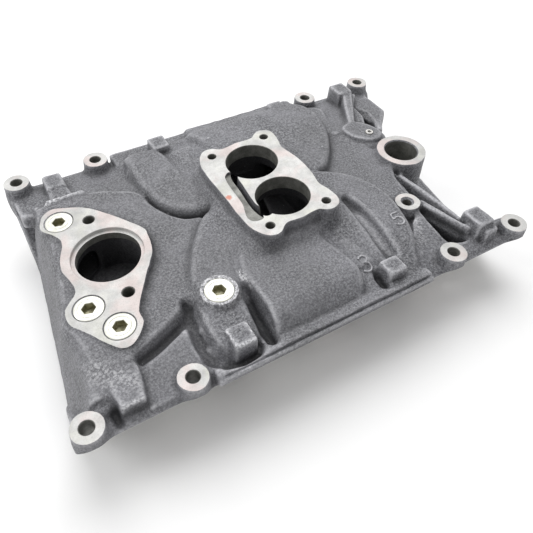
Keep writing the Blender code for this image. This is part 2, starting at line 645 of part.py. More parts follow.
def main():
    for obj in list(bpy.data.objects):
        bpy.data.objects.remove(obj)
    manifold_casting()
    hex_plugs()
    bracket_pin()


main()
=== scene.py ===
"""Looks of the intake manifold: the casting as sand-cast iron with machined faces, and its screwed plugs.

Shapes below are in millimetres in the model's frame. The casting is modelled as a field of signed distances,
negative inside the metal, so that every cast corner is rounded and every cast joint filleted.
"""
import math

import bmesh
import bpy
import numpy as np
from mathutils import Matrix, Vector


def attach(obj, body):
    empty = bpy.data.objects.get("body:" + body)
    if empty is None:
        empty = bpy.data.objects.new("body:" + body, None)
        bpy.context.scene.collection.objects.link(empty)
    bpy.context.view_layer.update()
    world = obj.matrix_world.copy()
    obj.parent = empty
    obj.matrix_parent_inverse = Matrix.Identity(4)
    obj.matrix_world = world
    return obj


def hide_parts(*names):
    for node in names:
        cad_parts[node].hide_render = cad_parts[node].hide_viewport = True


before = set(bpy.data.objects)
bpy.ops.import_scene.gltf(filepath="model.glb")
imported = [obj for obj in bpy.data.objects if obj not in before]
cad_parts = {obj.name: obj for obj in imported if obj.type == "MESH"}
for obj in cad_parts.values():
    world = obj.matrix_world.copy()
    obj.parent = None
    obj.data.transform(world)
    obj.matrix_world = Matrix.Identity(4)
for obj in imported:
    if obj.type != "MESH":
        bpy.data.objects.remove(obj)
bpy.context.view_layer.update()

MM = 0.001

# The field's grid: its step, its two corners, and the farthest distance that it stores. Then the triangles
# kept of its surface, and the corners of a cell.
STEP = 1.25
LOW = (-206, -135, -4)
HIGH = (206, 135, 92)
FAR = 30
CAST_TRIANGLES = 170000
CORNERS = [(i, j, k) for i in (0, 1) for j in (0, 1) for k in (0, 1)]

# Half length and half width of the casting, and where the 45 degree head faces meet the base plane.
SIDE_X, SIDE_Y = 201.5, 130.95
FACE_FOOT = 79.2
# Metal left for machining on every face that is cut flat.
PROUD = 1.5
# Foot of the humps over the runners, inside the deck.
HUMP_FOOT = 45

BOSS_TOP, BOSS_RADIUS, BOLT_RADIUS = 60, 10.5, 4.65
BOLT_ROW_Y = 120.2
NEAR_BOLT_X = (-190.3, -122.15, 101.55, 169.7)

# The carburettor flange and the thermostat pad lean forward by the same angle.
PITCH = math.radians(3.97)
CARB_X, CARB_Z = 2.7, 85.3
CARB_BORE_RADIUS, CARB_BORE_Y, CARB_BORE_DEPTH = 21.4, 24.05, 12
CARB_STUD_X, CARB_STUD_Y, CARB_STUD_RADIUS = 25, 47, 3.4
CHANNEL_DEPTHS = (2.4, 16)
PAINT_DAB = (-33.9, -4.3, 83.2)
PAD_X, PAD_Z = -133, 66
PAD_BORE_RADIUS, PAD_RECESS_RADIUS = 24.25, 27
PAD_SCREW_Y, PAD_SCREW_RADIUS = 41.3, 4.3

PLUG_RADIUS, PLUG_LENGTH, SCREWED_GAP = 10.6, 13, 0.15
PAD_PLUGS = {"coolant_plug_far": (-153.7, 51.4), "coolant_plug_front": (-161.1, -40.2),
             "coolant_plug_near": (-148.2, -65)}
RUNNER_PLUG = (-79, -73.5, 70.5)
COLLAR, COLLAR_RADIUS, COLLAR_BORE_RADIUS = (149.9, 0, 62.2), 22.7, 15.05
HOLD_BOSS, HOLD_RADIUS, HOLD_HOLE_RADIUS = (107, -58.5, 62), 10.6, 4
PIN, PIN_RADIUS = (139.9, 35.6, 63), 3.8

# Middle of each near runner's port along X. The far ones are the same, turned half round.
PORT_X = (-88, 25, 68)
# How far the passages are cut beyond the head faces, and the wall kept between them and a trench.
PORT_CUT = 8
PASSAGE_WALL = 2.6

# Material slots of the casting.
CAST, MACHINED, BORED = range(3)

# Trenches between cast shapes: x, y, floor height, half width.
MOAT_1 = ((-102, -66, 55.5, 2.5), (-104, -78, 50.5, 3.8), (-106, -95, 49, 4.2), (-105, -110, 48, 4.8),
          (-98, -119, 47.5, 4.6), (-87, -121.5, 47.5, 4.4), (-77, -121, 48.5, 4), (-72, -117, 50, 2.5))
SLOT_1 = ((-60, -75, 60, 1.6), (-61, -84, 54, 2.4), (-61.5, -98, 50.5, 3), (-62.5, -110, 49.5, 3.4),
          (-63, -119, 49.5, 3))
PLATEAU_FOOT = ((-145, -91.5, 52.5, 2.6), (-133, -87.5, 51.5, 3.2), (-117, -81, 51, 3.4),
                (-106, -76, 51, 3.4), (-101, -70, 53, 2.5))
LEG_PIT = ((-172.8, -115, 47.5, 2.6), (-172.5, -121, 46, 2.6))
VALLEY_5 = ((58, -35, 63.5, 2.2), (59, -48, 61, 3.4), (58, -68, 58.6, 4.4), (56.5, -86, 56.8, 5),
            (55.5, -98, 55.6, 4.6))
PIT_5 = ((36.5, -104, 56, 1.6), (35.5, -110, 51.5, 2.6), (35, -118, 50, 2.6))
UNDER_COLLAR = ((137, -22.5, 54, 2), (146, -25.5, 52, 2.4))
RIB_SLOT = ((126, -40, 47, 2.4), (129, -60, 45, 2.8), (135.8, -93, 45, 1.5))
TRENCHES = (MOAT_1, SLOT_1, PLATEAU_FOOT, LEG_PIT, VALLEY_5, PIT_5, UNDER_COLLAR, RIB_SLOT)
TRENCH_FLARE, TRENCH_TALL = 0.3, 8

# Cylinder numbers: place of the middle in x and y, strokes about it. Then the section of a stroke.
NUMERALS = (
    (32, -96.8, ((-3.3, 4.6), (-1.6, 6.1), (1.2, 6.1), (3.1, 4.6), (3.1, 2.3), (1.2, 0.6), (-0.6, 0.3),
                   (1.4, 0), (3.6, -1.8), (3.6, -4.4), (1.6, -6.1), (-1.6, -6.1), (-3.8, -4.4))),
    (80.3, -75.5, ((3.3, 6), (-2.6, 6), (-3.2, 1), (-1.2, 1.9), (1.4, 1.6), (3.5, -0.2), (3.5, -3.6),
                   (1.5, -5.8), (-1.6, -5.9), (-3.7, -4.4))))
NUMERAL_STROKE = ((-1, -1), (1, -1), (0.85, 0.5), (0.5, 1), (-0.5, 1), (-0.85, 0.5))

# Scuffed places on the casting, and places painted with shade in pockets, valleys and bores: two ends, a
# radius and a strength.
SCUFFS = (
    ((-156, 79, 63), (-127, 83.5, 63), 4, 1), ((-121, 85, 60), (-120, 85, 60), 2.6, 1),
    ((-79, -73.5, 79), (-79, -73.4, 79), 20, 2), ((-90.2, -102, 66.8), (-90.2, -119, 66.8), 1.9, 0.9),
    ((-90.2, -119, 66.8), (-74.6, -119, 66.8), 1.9, 0.9),
    ((-74.6, -119, 66.8), (-74.6, -102, 66.8), 1.9, 0.9),
    ((-57, -64, 66), (-55, -76, 66), 3.5, 0.9), ((-88, 67, 66), (-86, 70, 66), 2, 1),
    ((-172, -88, 60), (-158, -104, 61), 11, 0.35), ((-169, -118.6, 60), (-153, -118.6, 60), 1.9, 0.8),
    ((-122, -84, 60), (-112, -78, 62), 4, 0.6), ((95, -95, 52), (104, -72, 56), 5, 0.4),
    ((-177, -78, 58), (-180, -106, 54), 3, 0.6))
DEEP_SHADE_STREAKS = (
    ((117.5, -70, 54), (128.5, -103, 52), 6.5, 0.85), ((-169, -119.6, 53), (-153, -119.6, 53), 5, 0.7),
    ((3, -24, 40), (3, 24, 40), 34, 1), ((-133, 0, 18), (-131.5, 0, 38), 30, 1),
    ((120, -78, 44), (127, -106, 40), 11, 0.95), ((129, -55, 47), (136, -92, 46), 5, 0.9),
    ((160, 60, 44), (164, 80, 44), 12, 0.9), ((57, -40, 60), (55.5, -97, 55), 6.5, 0.75),
    ((-62.5, -80, 52), (-63.5, -116, 49), 6.5, 0.8), ((36, -104, 54), (35, -116, 50), 5, 0.9),
    ((-103, -74, 52), (-104, -112, 48), 6, 0.55), ((-98, -119, 47), (-76, -121, 48), 5.5, 0.8),
    ((-145, -91, 52), (-106, -76, 50), 4.5, 0.6), ((-172.8, -115, 50), (-172.5, -121, 46), 6, 0.7),
    ((-112, 118, 48), (-98, 119, 48), 4, 0.5), ((137, -22.5, 55), (146, -25.5, 53), 4, 0.8))


# ---------------------------------------------------------------- distances

def half_turn(points):
    """Points turned half round the vertical axis."""
    return [(-x, -y, *rest) for x, y, *rest in points]


def mirrored(profile):
    """A (y, z) profile for the other bank."""
    return [(-y, z) for y, z in profile]


def smooth(points, steps=4):
    """Closed Catmull-Rom curve through given points."""
    count = len(points)
    curve = []
    for i in range(count):
        p0, p1, p2, p3 = (np.array(points[(i + k) % count], float) for k in (-1, 0, 1, 2))
        for t in np.arange(steps) / steps:
            curve.append(tuple(0.5 * (2 * p1 + (p2 - p0) * t + (2 * p0 - 5 * p1 + 4 * p2 - p3) * t ** 2
                                      + (3 * p1 - p0 - 3 * p2 + p3) * t ** 3)))
    return curve


def polygon_distance(points, u, v):
    """Signed distance to a closed outline, negative inside; u and v broadcast against each other."""
    shape = np.broadcast(u, v).shape
    nearest = np.full(shape, 1e9, np.float32)
    inside = np.zeros(shape, bool)
    for (u0, v0), (u1, v1) in zip(points, points[1:] + points[:1]):
        du, dv = u1 - u0, v1 - v0
        t = np.clip(((u - u0) * du + (v - v0) * dv) / (du * du + dv * dv + 1e-12), 0, 1)
        nearest = np.minimum(nearest, (u - u0 - t * du) ** 2 + (v - v0 - t * dv) ** 2)
        if v0 != v1:
            inside ^= ((v0 > v) != (v1 > v)) & (u < du * (v - v0) / dv + u0)
    return np.where(inside, -1, 1) * np.sqrt(nearest)


def meet(a, b, radius):
    """Intersection of two distances with a rounded outer corner."""
    a, b = a + radius, b + radius
    return np.minimum(np.maximum(a, b), 0) + np.hypot(np.maximum(a, 0), np.maximum(b, 0)) - radius


def blend_min(a, b, width):
    """The lesser of two distances, filleted where they meet."""
    if not width:
        return np.minimum(a, b)
    return np.minimum(a, b) - np.maximum(width - np.abs(a - b), 0) ** 2 / (4 * width)


class Clay:
    """Signed distances on a regular grid. A solid added or cut is its two bounding corners and its shape."""

    def __init__(self):
        self.axes = [np.arange(a, b, STEP, dtype=np.float32) for a, b in zip(LOW, HIGH)]
        self.d = np.full([len(axis) for axis in self.axes], FAR, np.float32)

    def window(self, bounds, margin=12):
        spans = tuple(slice(np.searchsorted(axis, a - margin), np.searchsorted(axis, b + margin))
                      for axis, a, b in zip(self.axes, *bounds))
        x, y, z = (axis[span] for axis, span in zip(self.axes, spans))
        return spans, (x[:, None, None], y[None, :, None], z[None, None, :])

    def add(self, solid, fillet=0):
        spans, place = self.window(solid[0])
        self.d[spans] = blend_min(self.d[spans], solid[1](*place), fillet)

    def cut(self, solid, fillet=0):
        spans, place = self.window(solid[0])
        self.d[spans] = -blend_min(-self.d[spans], solid[1](*place), fillet)

    def add_slabs(self, rows):
        """Each row holds a slab's outline, bottom, top, edge and draft, and its fillet."""
        for *slab_values, fillet in rows:
            self.add(slab(*slab_values), fillet)


def extent(points, bottom, top):
    xs, ys = zip(*points)
    return (min(xs), min(ys), bottom), (max(xs), max(ys), top)


def walls(points, draft):
    """Side faces of an outline that is given at a level and widens below it."""
    lean = math.radians(draft)

    def shape(x, y, above):
        plan = polygon_distance(points, x[:, :, 0], y[:, :, 0])[:, :, None]
        return (plan + above * math.tan(lean)) * math.cos(lean)
    return shape


def slab(points, bottom, top, edge=1, draft=3):
    """A vertical solid on an outline given at its top; top is a height or a function of x and y."""
    height = top if callable(top) else lambda x, y: top
    sides = walls(points, draft)

    def shape(x, y, z):
        above = z - height(x, y)
        return np.maximum(meet(sides(x, y, above), above, edge), bottom - z)
    return extent(points, bottom, max(height(x, y) for x, y in points)), shape


def rolled(points, profile, edge, draft=8):
    """A hump on an outline whose top follows a (y, z) profile."""
    peak = max(z for y, z in profile)
    closed = [(profile[-1][0], HUMP_FOOT - 8), (profile[0][0], HUMP_FOOT - 8)] + profile
    sides = walls(points, draft)

    def shape(x, y, z):
        roof = polygon_distance(closed, y[0, :, :], z[0, :, :])[None, :, :]
        return np.maximum(meet(sides(x, y, z - peak), roof, edge), HUMP_FOOT - z)
    return extent(points, HUMP_FOOT, peak), shape


def along_x(profile, x0, x1, edge=1):
    """A (y, z) profile run from x0 to x1."""
    def shape(x, y, z):
        section = polygon_distance(profile, y[0, :, :], z[0, :, :])[None, :, :]
        return meet(section, np.maximum(x0 - x, x - x1), edge)
    ys, zs = zip(*profile)
    return ((x0, min(ys), min(zs)), (x1, max(ys), max(zs))), shape


def column(x0, y0, top, radius, length, draft=2, edge=0.6):
    """A round column under its top centre."""
    lean = math.radians(draft)

    def shape(x, y, z):
        side = (np.hypot(x - x0, y - y0) - radius - (top - z) * math.tan(lean)) * math.cos(lean)
        return np.maximum(meet(side, z - top, edge), top - length - z)
    reach = radius + length * math.tan(lean)
    return ((x0 - reach, y0 - reach, top - length), (x0 + reach, y0 + reach, top)), shape


def duct(stations, grow=0, corner=6):
    """A passage with rounded-box sections; a station is x, y, z, half width, half height."""
    reach = max(s[4] for s in stations) + grow
    low = [min(s[i] for s in stations) - reach for i in range(3)]
    high = [max(s[i] for s in stations) + reach for i in range(3)]

    def shape(x, y, z):
        nearest = np.full(np.broadcast(x, y, z).shape, 1e9, np.float32)
        for a, b in zip(stations, stations[1:]):
            start = Vector(a[:3])
            run = Vector(b[:3]) - start
            tall = Vector((1, 0, 0)).cross(run).normalized()
            wide = run.cross(tall).normalized()
            px, py, pz = x - start.x, y - start.y, z - start.z
            t = np.clip((px * run.x + py * run.y + pz * run.z) / run.length_squared, 0, 1)
            px, py, pz = px - t * run.x, py - t * run.y, pz - t * run.z
            half_width, half_height = (a[i] + (b[i] - a[i]) * t + grow - corner for i in (3, 4))
            u = np.abs(px * wide.x + py * wide.y + pz * wide.z) - half_width
            v = np.abs(px * tall.x + py * tall.y + pz * tall.z) - half_height
            past_end = np.abs(px * run.x + py * run.y + pz * run.z) / run.length
            flat = np.minimum(np.maximum(u, v), 0) + np.hypot(np.maximum(u, 0), np.maximum(v, 0)) - corner
            nearest = np.minimum(nearest, np.hypot(np.maximum(flat, 0), past_end) + np.minimum(flat, 0))
        return nearest
    return (low, high), shape


def trench(stations):
    """A round-bottomed trench, open above, along a path of x, y, floor height and half width."""
    def shape(x, y, z):
        nearest = np.float32(FAR)
        for (x0, y0, floor0, half0), (x1, y1, floor1, half1) in zip(stations, stations[1:]):
            dx, dy = x1 - x0, y1 - y0
            t = np.clip(((x - x0) * dx + (y - y0) * dy) / (dx * dx + dy * dy), 0, 1)
            half = half0 + t * (half1 - half0)
            across = np.hypot(x - x0 - t * dx, y - y0 - t * dy)
            rise = z - floor0 - t * (floor1 - floor0) - half
            flare = TRENCH_FLARE * np.clip(rise, 0, TRENCH_TALL)
            nearest = np.minimum(nearest, np.hypot(across, np.minimum(rise, 0)) - half - flare)
        return nearest
    low, high = np.min(stations, axis=0), np.max(stations, axis=0)
    reach = high[3] + TRENCH_FLARE * TRENCH_TALL
    return ((low[0] - reach, low[1] - reach, low[2]), (high[0] + reach, high[1] + reach, HIGH[2])), shape


def spared(solid, ducts, wall):
    """A cutting solid held back so that a wall is left over the ducts below it."""
    def kept(x, y, z):
        clear = np.minimum.reduce([duct(stations)[1](x, y, z) for stations in ducts])
        return np.maximum(solid[1](x, y, z), wall - clear)
    return solid[0], kept


def pitched(x0, z0):
    """Height of a machined face that leans forward through x0, z0."""
    return lambda x, y: z0 + (x - x0) * math.tan(PITCH)


def sloped(y0, z0, y1, z1):
    """Height that runs from z0 at y0 to z1 at y1."""
    return lambda x, y: z0 + (z1 - z0) * (y - y0) / (y1 - y0)


def grown(points, distance):
    """The outline moved outward by the distance."""
    ring = np.array(points, float)
    along = np.roll(ring, -1, axis=0) - np.roll(ring, 1, axis=0)
    along /= np.linalg.norm(along, axis=1)[:, None] + 1e-9
    x, y = ring.T
    turn = 1 if np.sum(x * np.roll(y, -1) - y * np.roll(x, -1)) > 0 else -1
    return [tuple(p) for p in ring + turn * distance * np.column_stack((along[:, 1], -along[:, 0]))]


def box_outline(x0, x1, y0, y1):
    return [(x0, y0), (x1, y0), (x1, y1), (x0, y1)]


# ---------------------------------------------------------------- places of bolts, bores, screws, plugs

def bolt_places():
    """Top centre of every bolt boss."""
    near = [(x, -BOLT_ROW_Y, BOSS_TOP) for x in NEAR_BOLT_X]
    return near + half_turn(near)


def carb_bores():
    return [(CARB_X, y, CARB_Z) for y in (-CARB_BORE_Y, CARB_BORE_Y)]


def carb_studs():
    level = pitched(CARB_X, CARB_Z)
    return [(CARB_X + x, y, level(CARB_X + x, y))
            for x in (-CARB_STUD_X, CARB_STUD_X) for y in (-CARB_STUD_Y, CARB_STUD_Y)]


def pad_screws():
    return [(PAD_X, y, PAD_Z) for y in (-PAD_SCREW_Y, PAD_SCREW_Y)]


def plug_places():
    """Top centre and tilt of every hex-socket plug by its node."""
    on_pad = pitched(PAD_X, PAD_Z)
    places = {name: (x, y, on_pad(x, y), PITCH) for name, (x, y) in PAD_PLUGS.items()}
    return {**places, "runner_plug": (*RUNNER_PLUG, 0)}


# ---------------------------------------------------------------- the casting's cast shape

def duct_stations(port_x, side, deep):
    """Centre line of a runner from its port in the head face to the plenum."""
    port_z = 27
    face_y = side * (FACE_FOOT + port_z)
    near_x = 14 if abs(port_x) < 40 else 30
    inner_x = math.copysign(near_x, port_x) + CARB_X
    return [(port_x, face_y + side * deep, port_z - deep, 14, 19),
            (port_x, face_y - side * 14, 39, 14, 18),
            (0.72 * port_x + 0.28 * inner_x, side * 66, 45, 14, 14.5),
            (inner_x, side * 30, 49, 12, 13)]


def cross_stations(x0, x1, z, half, tall, rise, deep):
    """Centre line of a passage from head to head."""
    end = FACE_FOOT + z
    return [(x0, -end - deep, z - deep, half, tall),
            (x0, -end + 18, z + rise, half, tall - 3),
            ((x0 + x1) / 2, 0, z + rise + 1, half + 3, tall - 4),
            (x1, end - 18, z + rise, half, tall - 3),
            (x1, end + deep, z - deep, half, tall)]


def passages(deep):
    """Every cored passage: six runners, the exhaust crossover and the coolant crossover."""
    found = [duct_stations(x, -1, deep) for x in PORT_X] + [duct_stations(-x, 1, deep) for x in PORT_X]
    return found + [cross_stations(-25, 25, 20, 10, 13, 3, deep),
                    cross_stations(-160, -142, 27, 10, 15, 12, deep)]


def lower_body(clay):
    """Head flanges, end rails, walls, deck and the metal around the passages."""
    inner = FACE_FOOT - 17
    section = [(-FACE_FOOT - 2 * PROUD, -PROUD), (-inner, -PROUD), (-inner - 46, 46), (-108.5, 50),
               (-121, 50), (-126.4, 47), (-126.4 - PROUD, 47 - PROUD)]
    clay.add(along_x(section, -199.5, 179.5))
    clay.add(along_x(mirrored(section), -179.5, 199.5))
    front = [(-198.3, -84), (-178, -84), (-155, 84), (-176, 84)]
    for rail in (front, half_turn(front)):
        clay.add(slab(rail, -PROUD, 15), 3)
    for stations in passages(0):
        clay.add(duct(stations, grow=5, corner=8), 6)
    clay.add(column(PAD_X, 0, 56, PAD_BORE_RADIUS + 6, 32), 6)
    deck = [(-174, -113), (176, -113), (178, -104), (140, -100), (127, -62), (130, -20), (150, -8), (152, 30),
            (188, 70), (187.5, 113), (-166, 113)]
    rear_wall = [(132, -100), (121, -60), (124, -18), (140, 14), (168, 60), (188, 70), (188, 100), (178, 100),
                 (178, 78), (160, 66), (130, 20), (114, -16), (111, -62), (122, -102)]
    floor = [(122, -88), (175, -80), (190, 0), (194, 84), (176, 84), (160, 62), (122, 10), (112, -60)]
    clay.add_slabs(((deck, 43, 50.5, 1, 3, 4), (rear_wall, 6, 50, 1, 3, 3),
                    (floor, 4, 13, 1, 3, 4)))


def front_wall(clay):
    """The wall from the front rail to the ridge at the deck's edge."""
    ridge_y, ridge_x = zip((-106, -182), (-88, -178.5), (-64, -178), (-42, -180), (-17, -175), (8, -171),
                           (38, -167), (84, -165))
    section = [(16, 8), (0.5, 8), (2, 20), (11.5, 48), (14, 56.5), (16.5, 59.2), (19, 59.4),
               (22, 58), (28, 57.5), (26, 46)]
    ridge_across = 16

    def shape(x, y, z):
        foot = -187.5 + 0.137 * y
        crest = np.interp(y, ridge_y, ridge_x).astype(np.float32)
        across = (x - foot) * ridge_across / (crest - foot)
        return np.maximum(polygon_distance(section, across, z), np.maximum(ridge_y[0] - y, y - ridge_y[-1]))
    clay.add((((-204, -108, 8), (-150, 86, 60)), shape), 2)


def plateau(clay):
    """The raised deck over the coolant crossover, its legs to the front lugs and a bar at its far edge."""
    top = smooth([(-163, 77), (-165, 38), (-169, 8), (-173, -17), (-178, -42), (-175, -64), (-172, -86),
                  (-148, -90), (-130, -83), (-113, -76.5), (-104, -72.5), (-95, -64), (-80, -38), (-52, 2),
                  (-66, 11.5), (-76.5, 25.5), (-83, 42), (-85, 57), (-100, 68), (-121, 77)], 3)
    near = [(-175, -60), (-150, -60), (-148, -90), (-150, -105), (-153, -117), (-169.5, -117), (-171, -100)]
    saddle = [(-178, -80), (-168, -80), (-170, -112), (-186, -114), (-180, -104)]
    far = [(-151, 72), (-133, 72), (-134, 110), (-150, 110)]
    bar = box_outline(-156, -125, 77, 81)
    clay.add_slabs(((top, 45, 62.5, 2.2, 14, 3.5),
                    (near, 44.5, sloped(-60, 62.2, -116, 59.6), 1.8, 8, 2),
                    (saddle, 44.5, sloped(-80, 60.5, -114, 53.5), 2, 10, 4),
                    (far, 44.5, sloped(72, 60, 110, 57.5), 2, 8, 2.5),
                    (bar, 48, 64.3, 0.8, 6, 1.5)))


def corner_panels(clay):
    """Sloping panels that carry the outer bolt bosses."""
    near_front = [(-150, -80), (-96, -66), (-98, -123.5), (-153, -123.5), (-153, -106)]
    far_front = [(-178, 123), (-177, 80), (-160, 74), (-118, 74), (-82, 55), (-79, 118), (-92, 123)]
    near_rear = [(66, -122), (84, -95), (100, -76), (112, -68), (113, -106), (128, -113), (178, -116),
                 (178, -123)]
    far_rear = [(104, 74), (111, 52), (136, 52), (146, 70), (150, 90), (188, 100), (198, 112), (198, 123),
                (112, 123)]
    for outline, slope in ((near_front, (-85, 57.3, -123.5, 51.5)), (far_front, (80, 56, 125, 48)),
                           (near_rear, (-80, 56, -124, 49)), (far_rear, (80, 56, 125, 48.5))):
        clay.add(slab(outline, 44, sloped(*slope)), 1.5)


def lips(clay):
    """Ledges with a shallow groove along the top of the head flanges between the inner bolts."""
    foot = [(-110.6, 42.3), (-122, 42.3), (-131 - PROUD, 51.8 - PROUD)]
    ridge = [(-131 - PROUD, 55.8), (-128.6, 56.2), (-126.8, 58.2), (-121.5, 58.2), (-119, 56),
             (-110.6, 53)]
    plain = [(-131 - PROUD, 52), (-128, 53.5), (-110.6, 54)]
    clay.add(along_x(foot + ridge, -109, 75, 4), 1.5)
    clay.add(along_x(mirrored(foot + ridge), -11, 106.5, 4), 1.5)
    clay.add(along_x(mirrored(foot + plain), -87, -7, 2), 1.5)


def near_runners(clay):
    """The humps over the odd bank's runners and the heat crossover."""
    runner_1 = smooth([(-30, 5), (-52, 2), (-64, -10), (-77, -27), (-88, -47), (-94, -66), (-98, -84),
                       (-99.5, -104), (-97, -114), (-90, -119.5), (-78, -119.5), (-71.5, -114), (-69, -104),
                       (-66, -88), (-60, -72), (-55, -50), (-40, -40), (-20, -25)], 3)
    crossover = smooth([(-56, -123), (-57.5, -100), (-58, -80), (-56, -62), (-50, -48), (-37, -37),
                        (-10, -28), (12, -28), (15, -45), (15, -62), (18.5, -82), (21, -98), (19, -109),
                        (13, -118), (6, -123)], 3)
    runner_3 = [(10, -26), (62, -26), (62, -122), (10, -122)]
    runner_5 = smooth([(30, 8), (53, 7), (68, 0), (81, -13), (89.5, -29), (93, -46), (92, -61), (89, -76),
                       (84, -91), (75, -105), (68, -117), (59, -119), (56.5, -105), (57, -90), (59.5, -75),
                       (61.5, -60), (61.5, -45), (55, -32), (30, -25)], 3)
    top_3 = [(0, 66.5), (-35, 66), (-60, 62.5), (-80, 60.4), (-100, 58.3), (-122, 55.5)]
    top_5 = [(20, 69), (-60, 69), (-80, 67.4), (-95, 64.6), (-110, 60), (-121, 55)]
    top_cross = [(-10, 69.5), (-96, 69.5), (-101, 69.2), (-105.5, 68.2), (-109.5, 66.4), (-113.5, 63.4),
                 (-117, 60), (-120.5, 56)]
    top_1 = [(20, 71), (-20, 70), (-50, 68), (-75, 66.5), (-98, 64.4), (-109, 62.2), (-115, 59.4), (-120, 55)]
    clay.add(rolled(runner_3, top_3, 3), 4)
    clay.add(rolled(runner_5, top_5, 4), 3)
    clay.add(rolled(crossover, top_cross, 4, 9), 2.5)
    clay.add(rolled(runner_1, top_1, 5, 10), 3)


def far_runners(clay):
    """The humps over the even bank's runners."""
    runner_2 = smooth([(-80, 100), (-81, 72), (-80, 53), (-76, 35), (-67, 21.5), (-55, 14), (-43, 12),
                       (-25, 14), (-25, 40), (-39, 43), (-43, 55), (-45, 68), (-47, 90), (-52, 104),
                       (-60, 111.5), (-70, 112), (-77, 108)], 3)
    runner_4 = [(-50, 120), (-50, 30), (-5, 30), (-5, 120)]
    runner_6 = smooth([(-8, 123), (-9, 80), (-9, 40), (0, 10), (40, 5), (66, 9), (81, 21.5), (92.5, 36),
                       (102, 53), (107, 70), (109, 85), (106, 99), (101, 108), (95, 123)], 3)
    top_4 = [(20, 64.5), (60, 62), (95, 60.8), (105, 59.8), (112, 58.5), (117, 56.5), (121, 52)]
    top_2 = [(0, 66.8), (96, 66.8), (102, 65.8), (107, 64), (111, 61.2), (115, 57.5)]
    top_6 = [(0, 68.5), (96, 68.5), (104, 67.6), (110, 65.4), (115, 62.4), (119, 59.8), (124, 57.2)]
    clay.add(rolled(runner_4, top_4, 3), 4)
    clay.add(rolled(runner_2, top_2, 5, 12), 2.5)
    clay.add(rolled(runner_6, top_6, 5, 10), 3.5)


def trenches(clay):
    """Trenches between the humps, none of them opening a passage."""
    for path in TRENCHES:
        clay.cut(spared(trench(path), passages(PORT_CUT), PASSAGE_WALL), 2.5)


def lugs(clay):
    """Square lugs over each group of ports."""
    for x, y0, y1, top in ((-161, -119, -98, 60.5), (-82.4, -119, -102, 66.8),
                           (46.5, -119, -104, 66.8), (143, -113.5, -93.7, 66.8),
                           (-142, 100, 119, 60), (-45.2, 101, 119, 66.8),
                           (82, 101, 119, 66.8), (159, 100, 119, 66.8)):
        clay.add(slab(box_outline(x - 8, x + 8, y0, y1), 44, top, edge=0.7), 1.5)


def rear_deck(clay):
    """The deck behind the runners, with its ribs, bracket foot and corner block."""
    deck = smooth([(60, -40), (92, -63), (105, -66), (119, -55), (123, -28), (130, -14), (136, 0), (134, 16),
                   (128, 25), (119, 37), (116, 52), (122, 76), (124, 104), (60, 106)], 3)
    near_rib = [(116, -64), (121, -60), (132, -101), (138.5, -104), (138, -109.5), (131, -106.5)]
    lower_rib = [(131, -20), (135.5, -20), (140, -58), (142.5, -95), (139, -95), (136, -58)]
    step = box_outline(139.5, 152.5, -119, -110)
    bracket_ridge = [(132, 58.5), (137.5, 55), (167, 101), (165, 108), (159.5, 108)]
    web = [(137, 55), (150, 52), (158, 66), (160, 86), (176, 104), (160, 106)]
    foot = smooth([(121, 54), (121, 42), (127, 31.5), (137, 25), (146, 25.5), (152.5, 33), (150, 44),
                   (142, 56), (130, 58.5)])
    foot_step = smooth([(117, 56), (117, 40), (124.5, 28), (136, 21), (148, 21.5), (156.5, 31), (154, 46),
                        (144, 60), (129, 62)])
    block = [(166, 98), (190, 101), (190, 71), (178, 60), (167, 45.5), (162, 47), (168, 60), (171, 76),
             (166, 86)]
    foot_top = PIN[2]
    clay.add_slabs(((deck, 45, 58, 2.5, 10, 3), (near_rib, 12, 60.6, 0.4, 1.5, 0.8),
                    (lower_rib, 10, 54, 0.6, 3, 1), (step, 44, 61.5, 0.9, 3, 1.5),
                    (bracket_ridge, 44, sloped(46, 62.8, 108, 66.4), 1.2, 6, 2),
                    (web, 40, sloped(50, 57, 106, 60), 2, 6, 2),
                    (foot_step, 47, foot_top - 4, 2, 14, 3), (foot, 47, foot_top, 0.9, 3, 1),
                    (block, 10, 53.5, 1.5, 3, 2.5)))


def carb_outline():
    half = [(-36.5, 0), (-36.5, 34), (-33, 48), (-26, 56.5), (-18, 56.5), (-11, 51.5), (3, 52.5), (17, 51.5),
            (22, 55), (28, 57), (35, 54), (37.5, 47), (36, 36), (34, 27), (36.5, 13), (37.5, 0)]
    return smooth(half + [(x, -y) for x, y in half[-2:0:-1]])


def pad_outline():
    return smooth([(-168.4, 50.5), (-163.4, 62.6), (-155.6, 67.6), (-147.9, 66.1), (-131, 56),
                   (-116.6, 38.4), (-101.6, 13.6), (-99.7, 2.5), (-104.4, -16), (-119, -37.7),
                   (-131.9, -58.1), (-133.5, -70.5), (-144.4, -81.9), (-155, -80), (-169.2, -56.7),
                   (-175.6, -44), (-174.5, -34), (-164.5, -22), (-164.8, -8), (-166.3, 2.5),
                   (-163.9, 14.4), (-158.3, 28), (-161, 38.5)], 5)


def carb_and_pads(clay):
    """The plenum under the carburettor flange, the flange and the thermostat pad."""
    plenum = smooth([(-40, -44), (-41, 0), (-40, 44), (-28, 54), (0, 56), (28, 55), (42, 44), (43, 0),
                     (42, -44), (28, -55), (0, -56), (-28, -54)], 3)
    clay.add_slabs(((plenum, 18, 74.5, 4, 12, 7),
                    (carb_outline(), 68, pitched(CARB_X, CARB_Z + PROUD), 0.2, 3, 3),
                    (pad_outline(), 48, pitched(PAD_X, PAD_Z + PROUD), 0.2, 3, 1.5)))


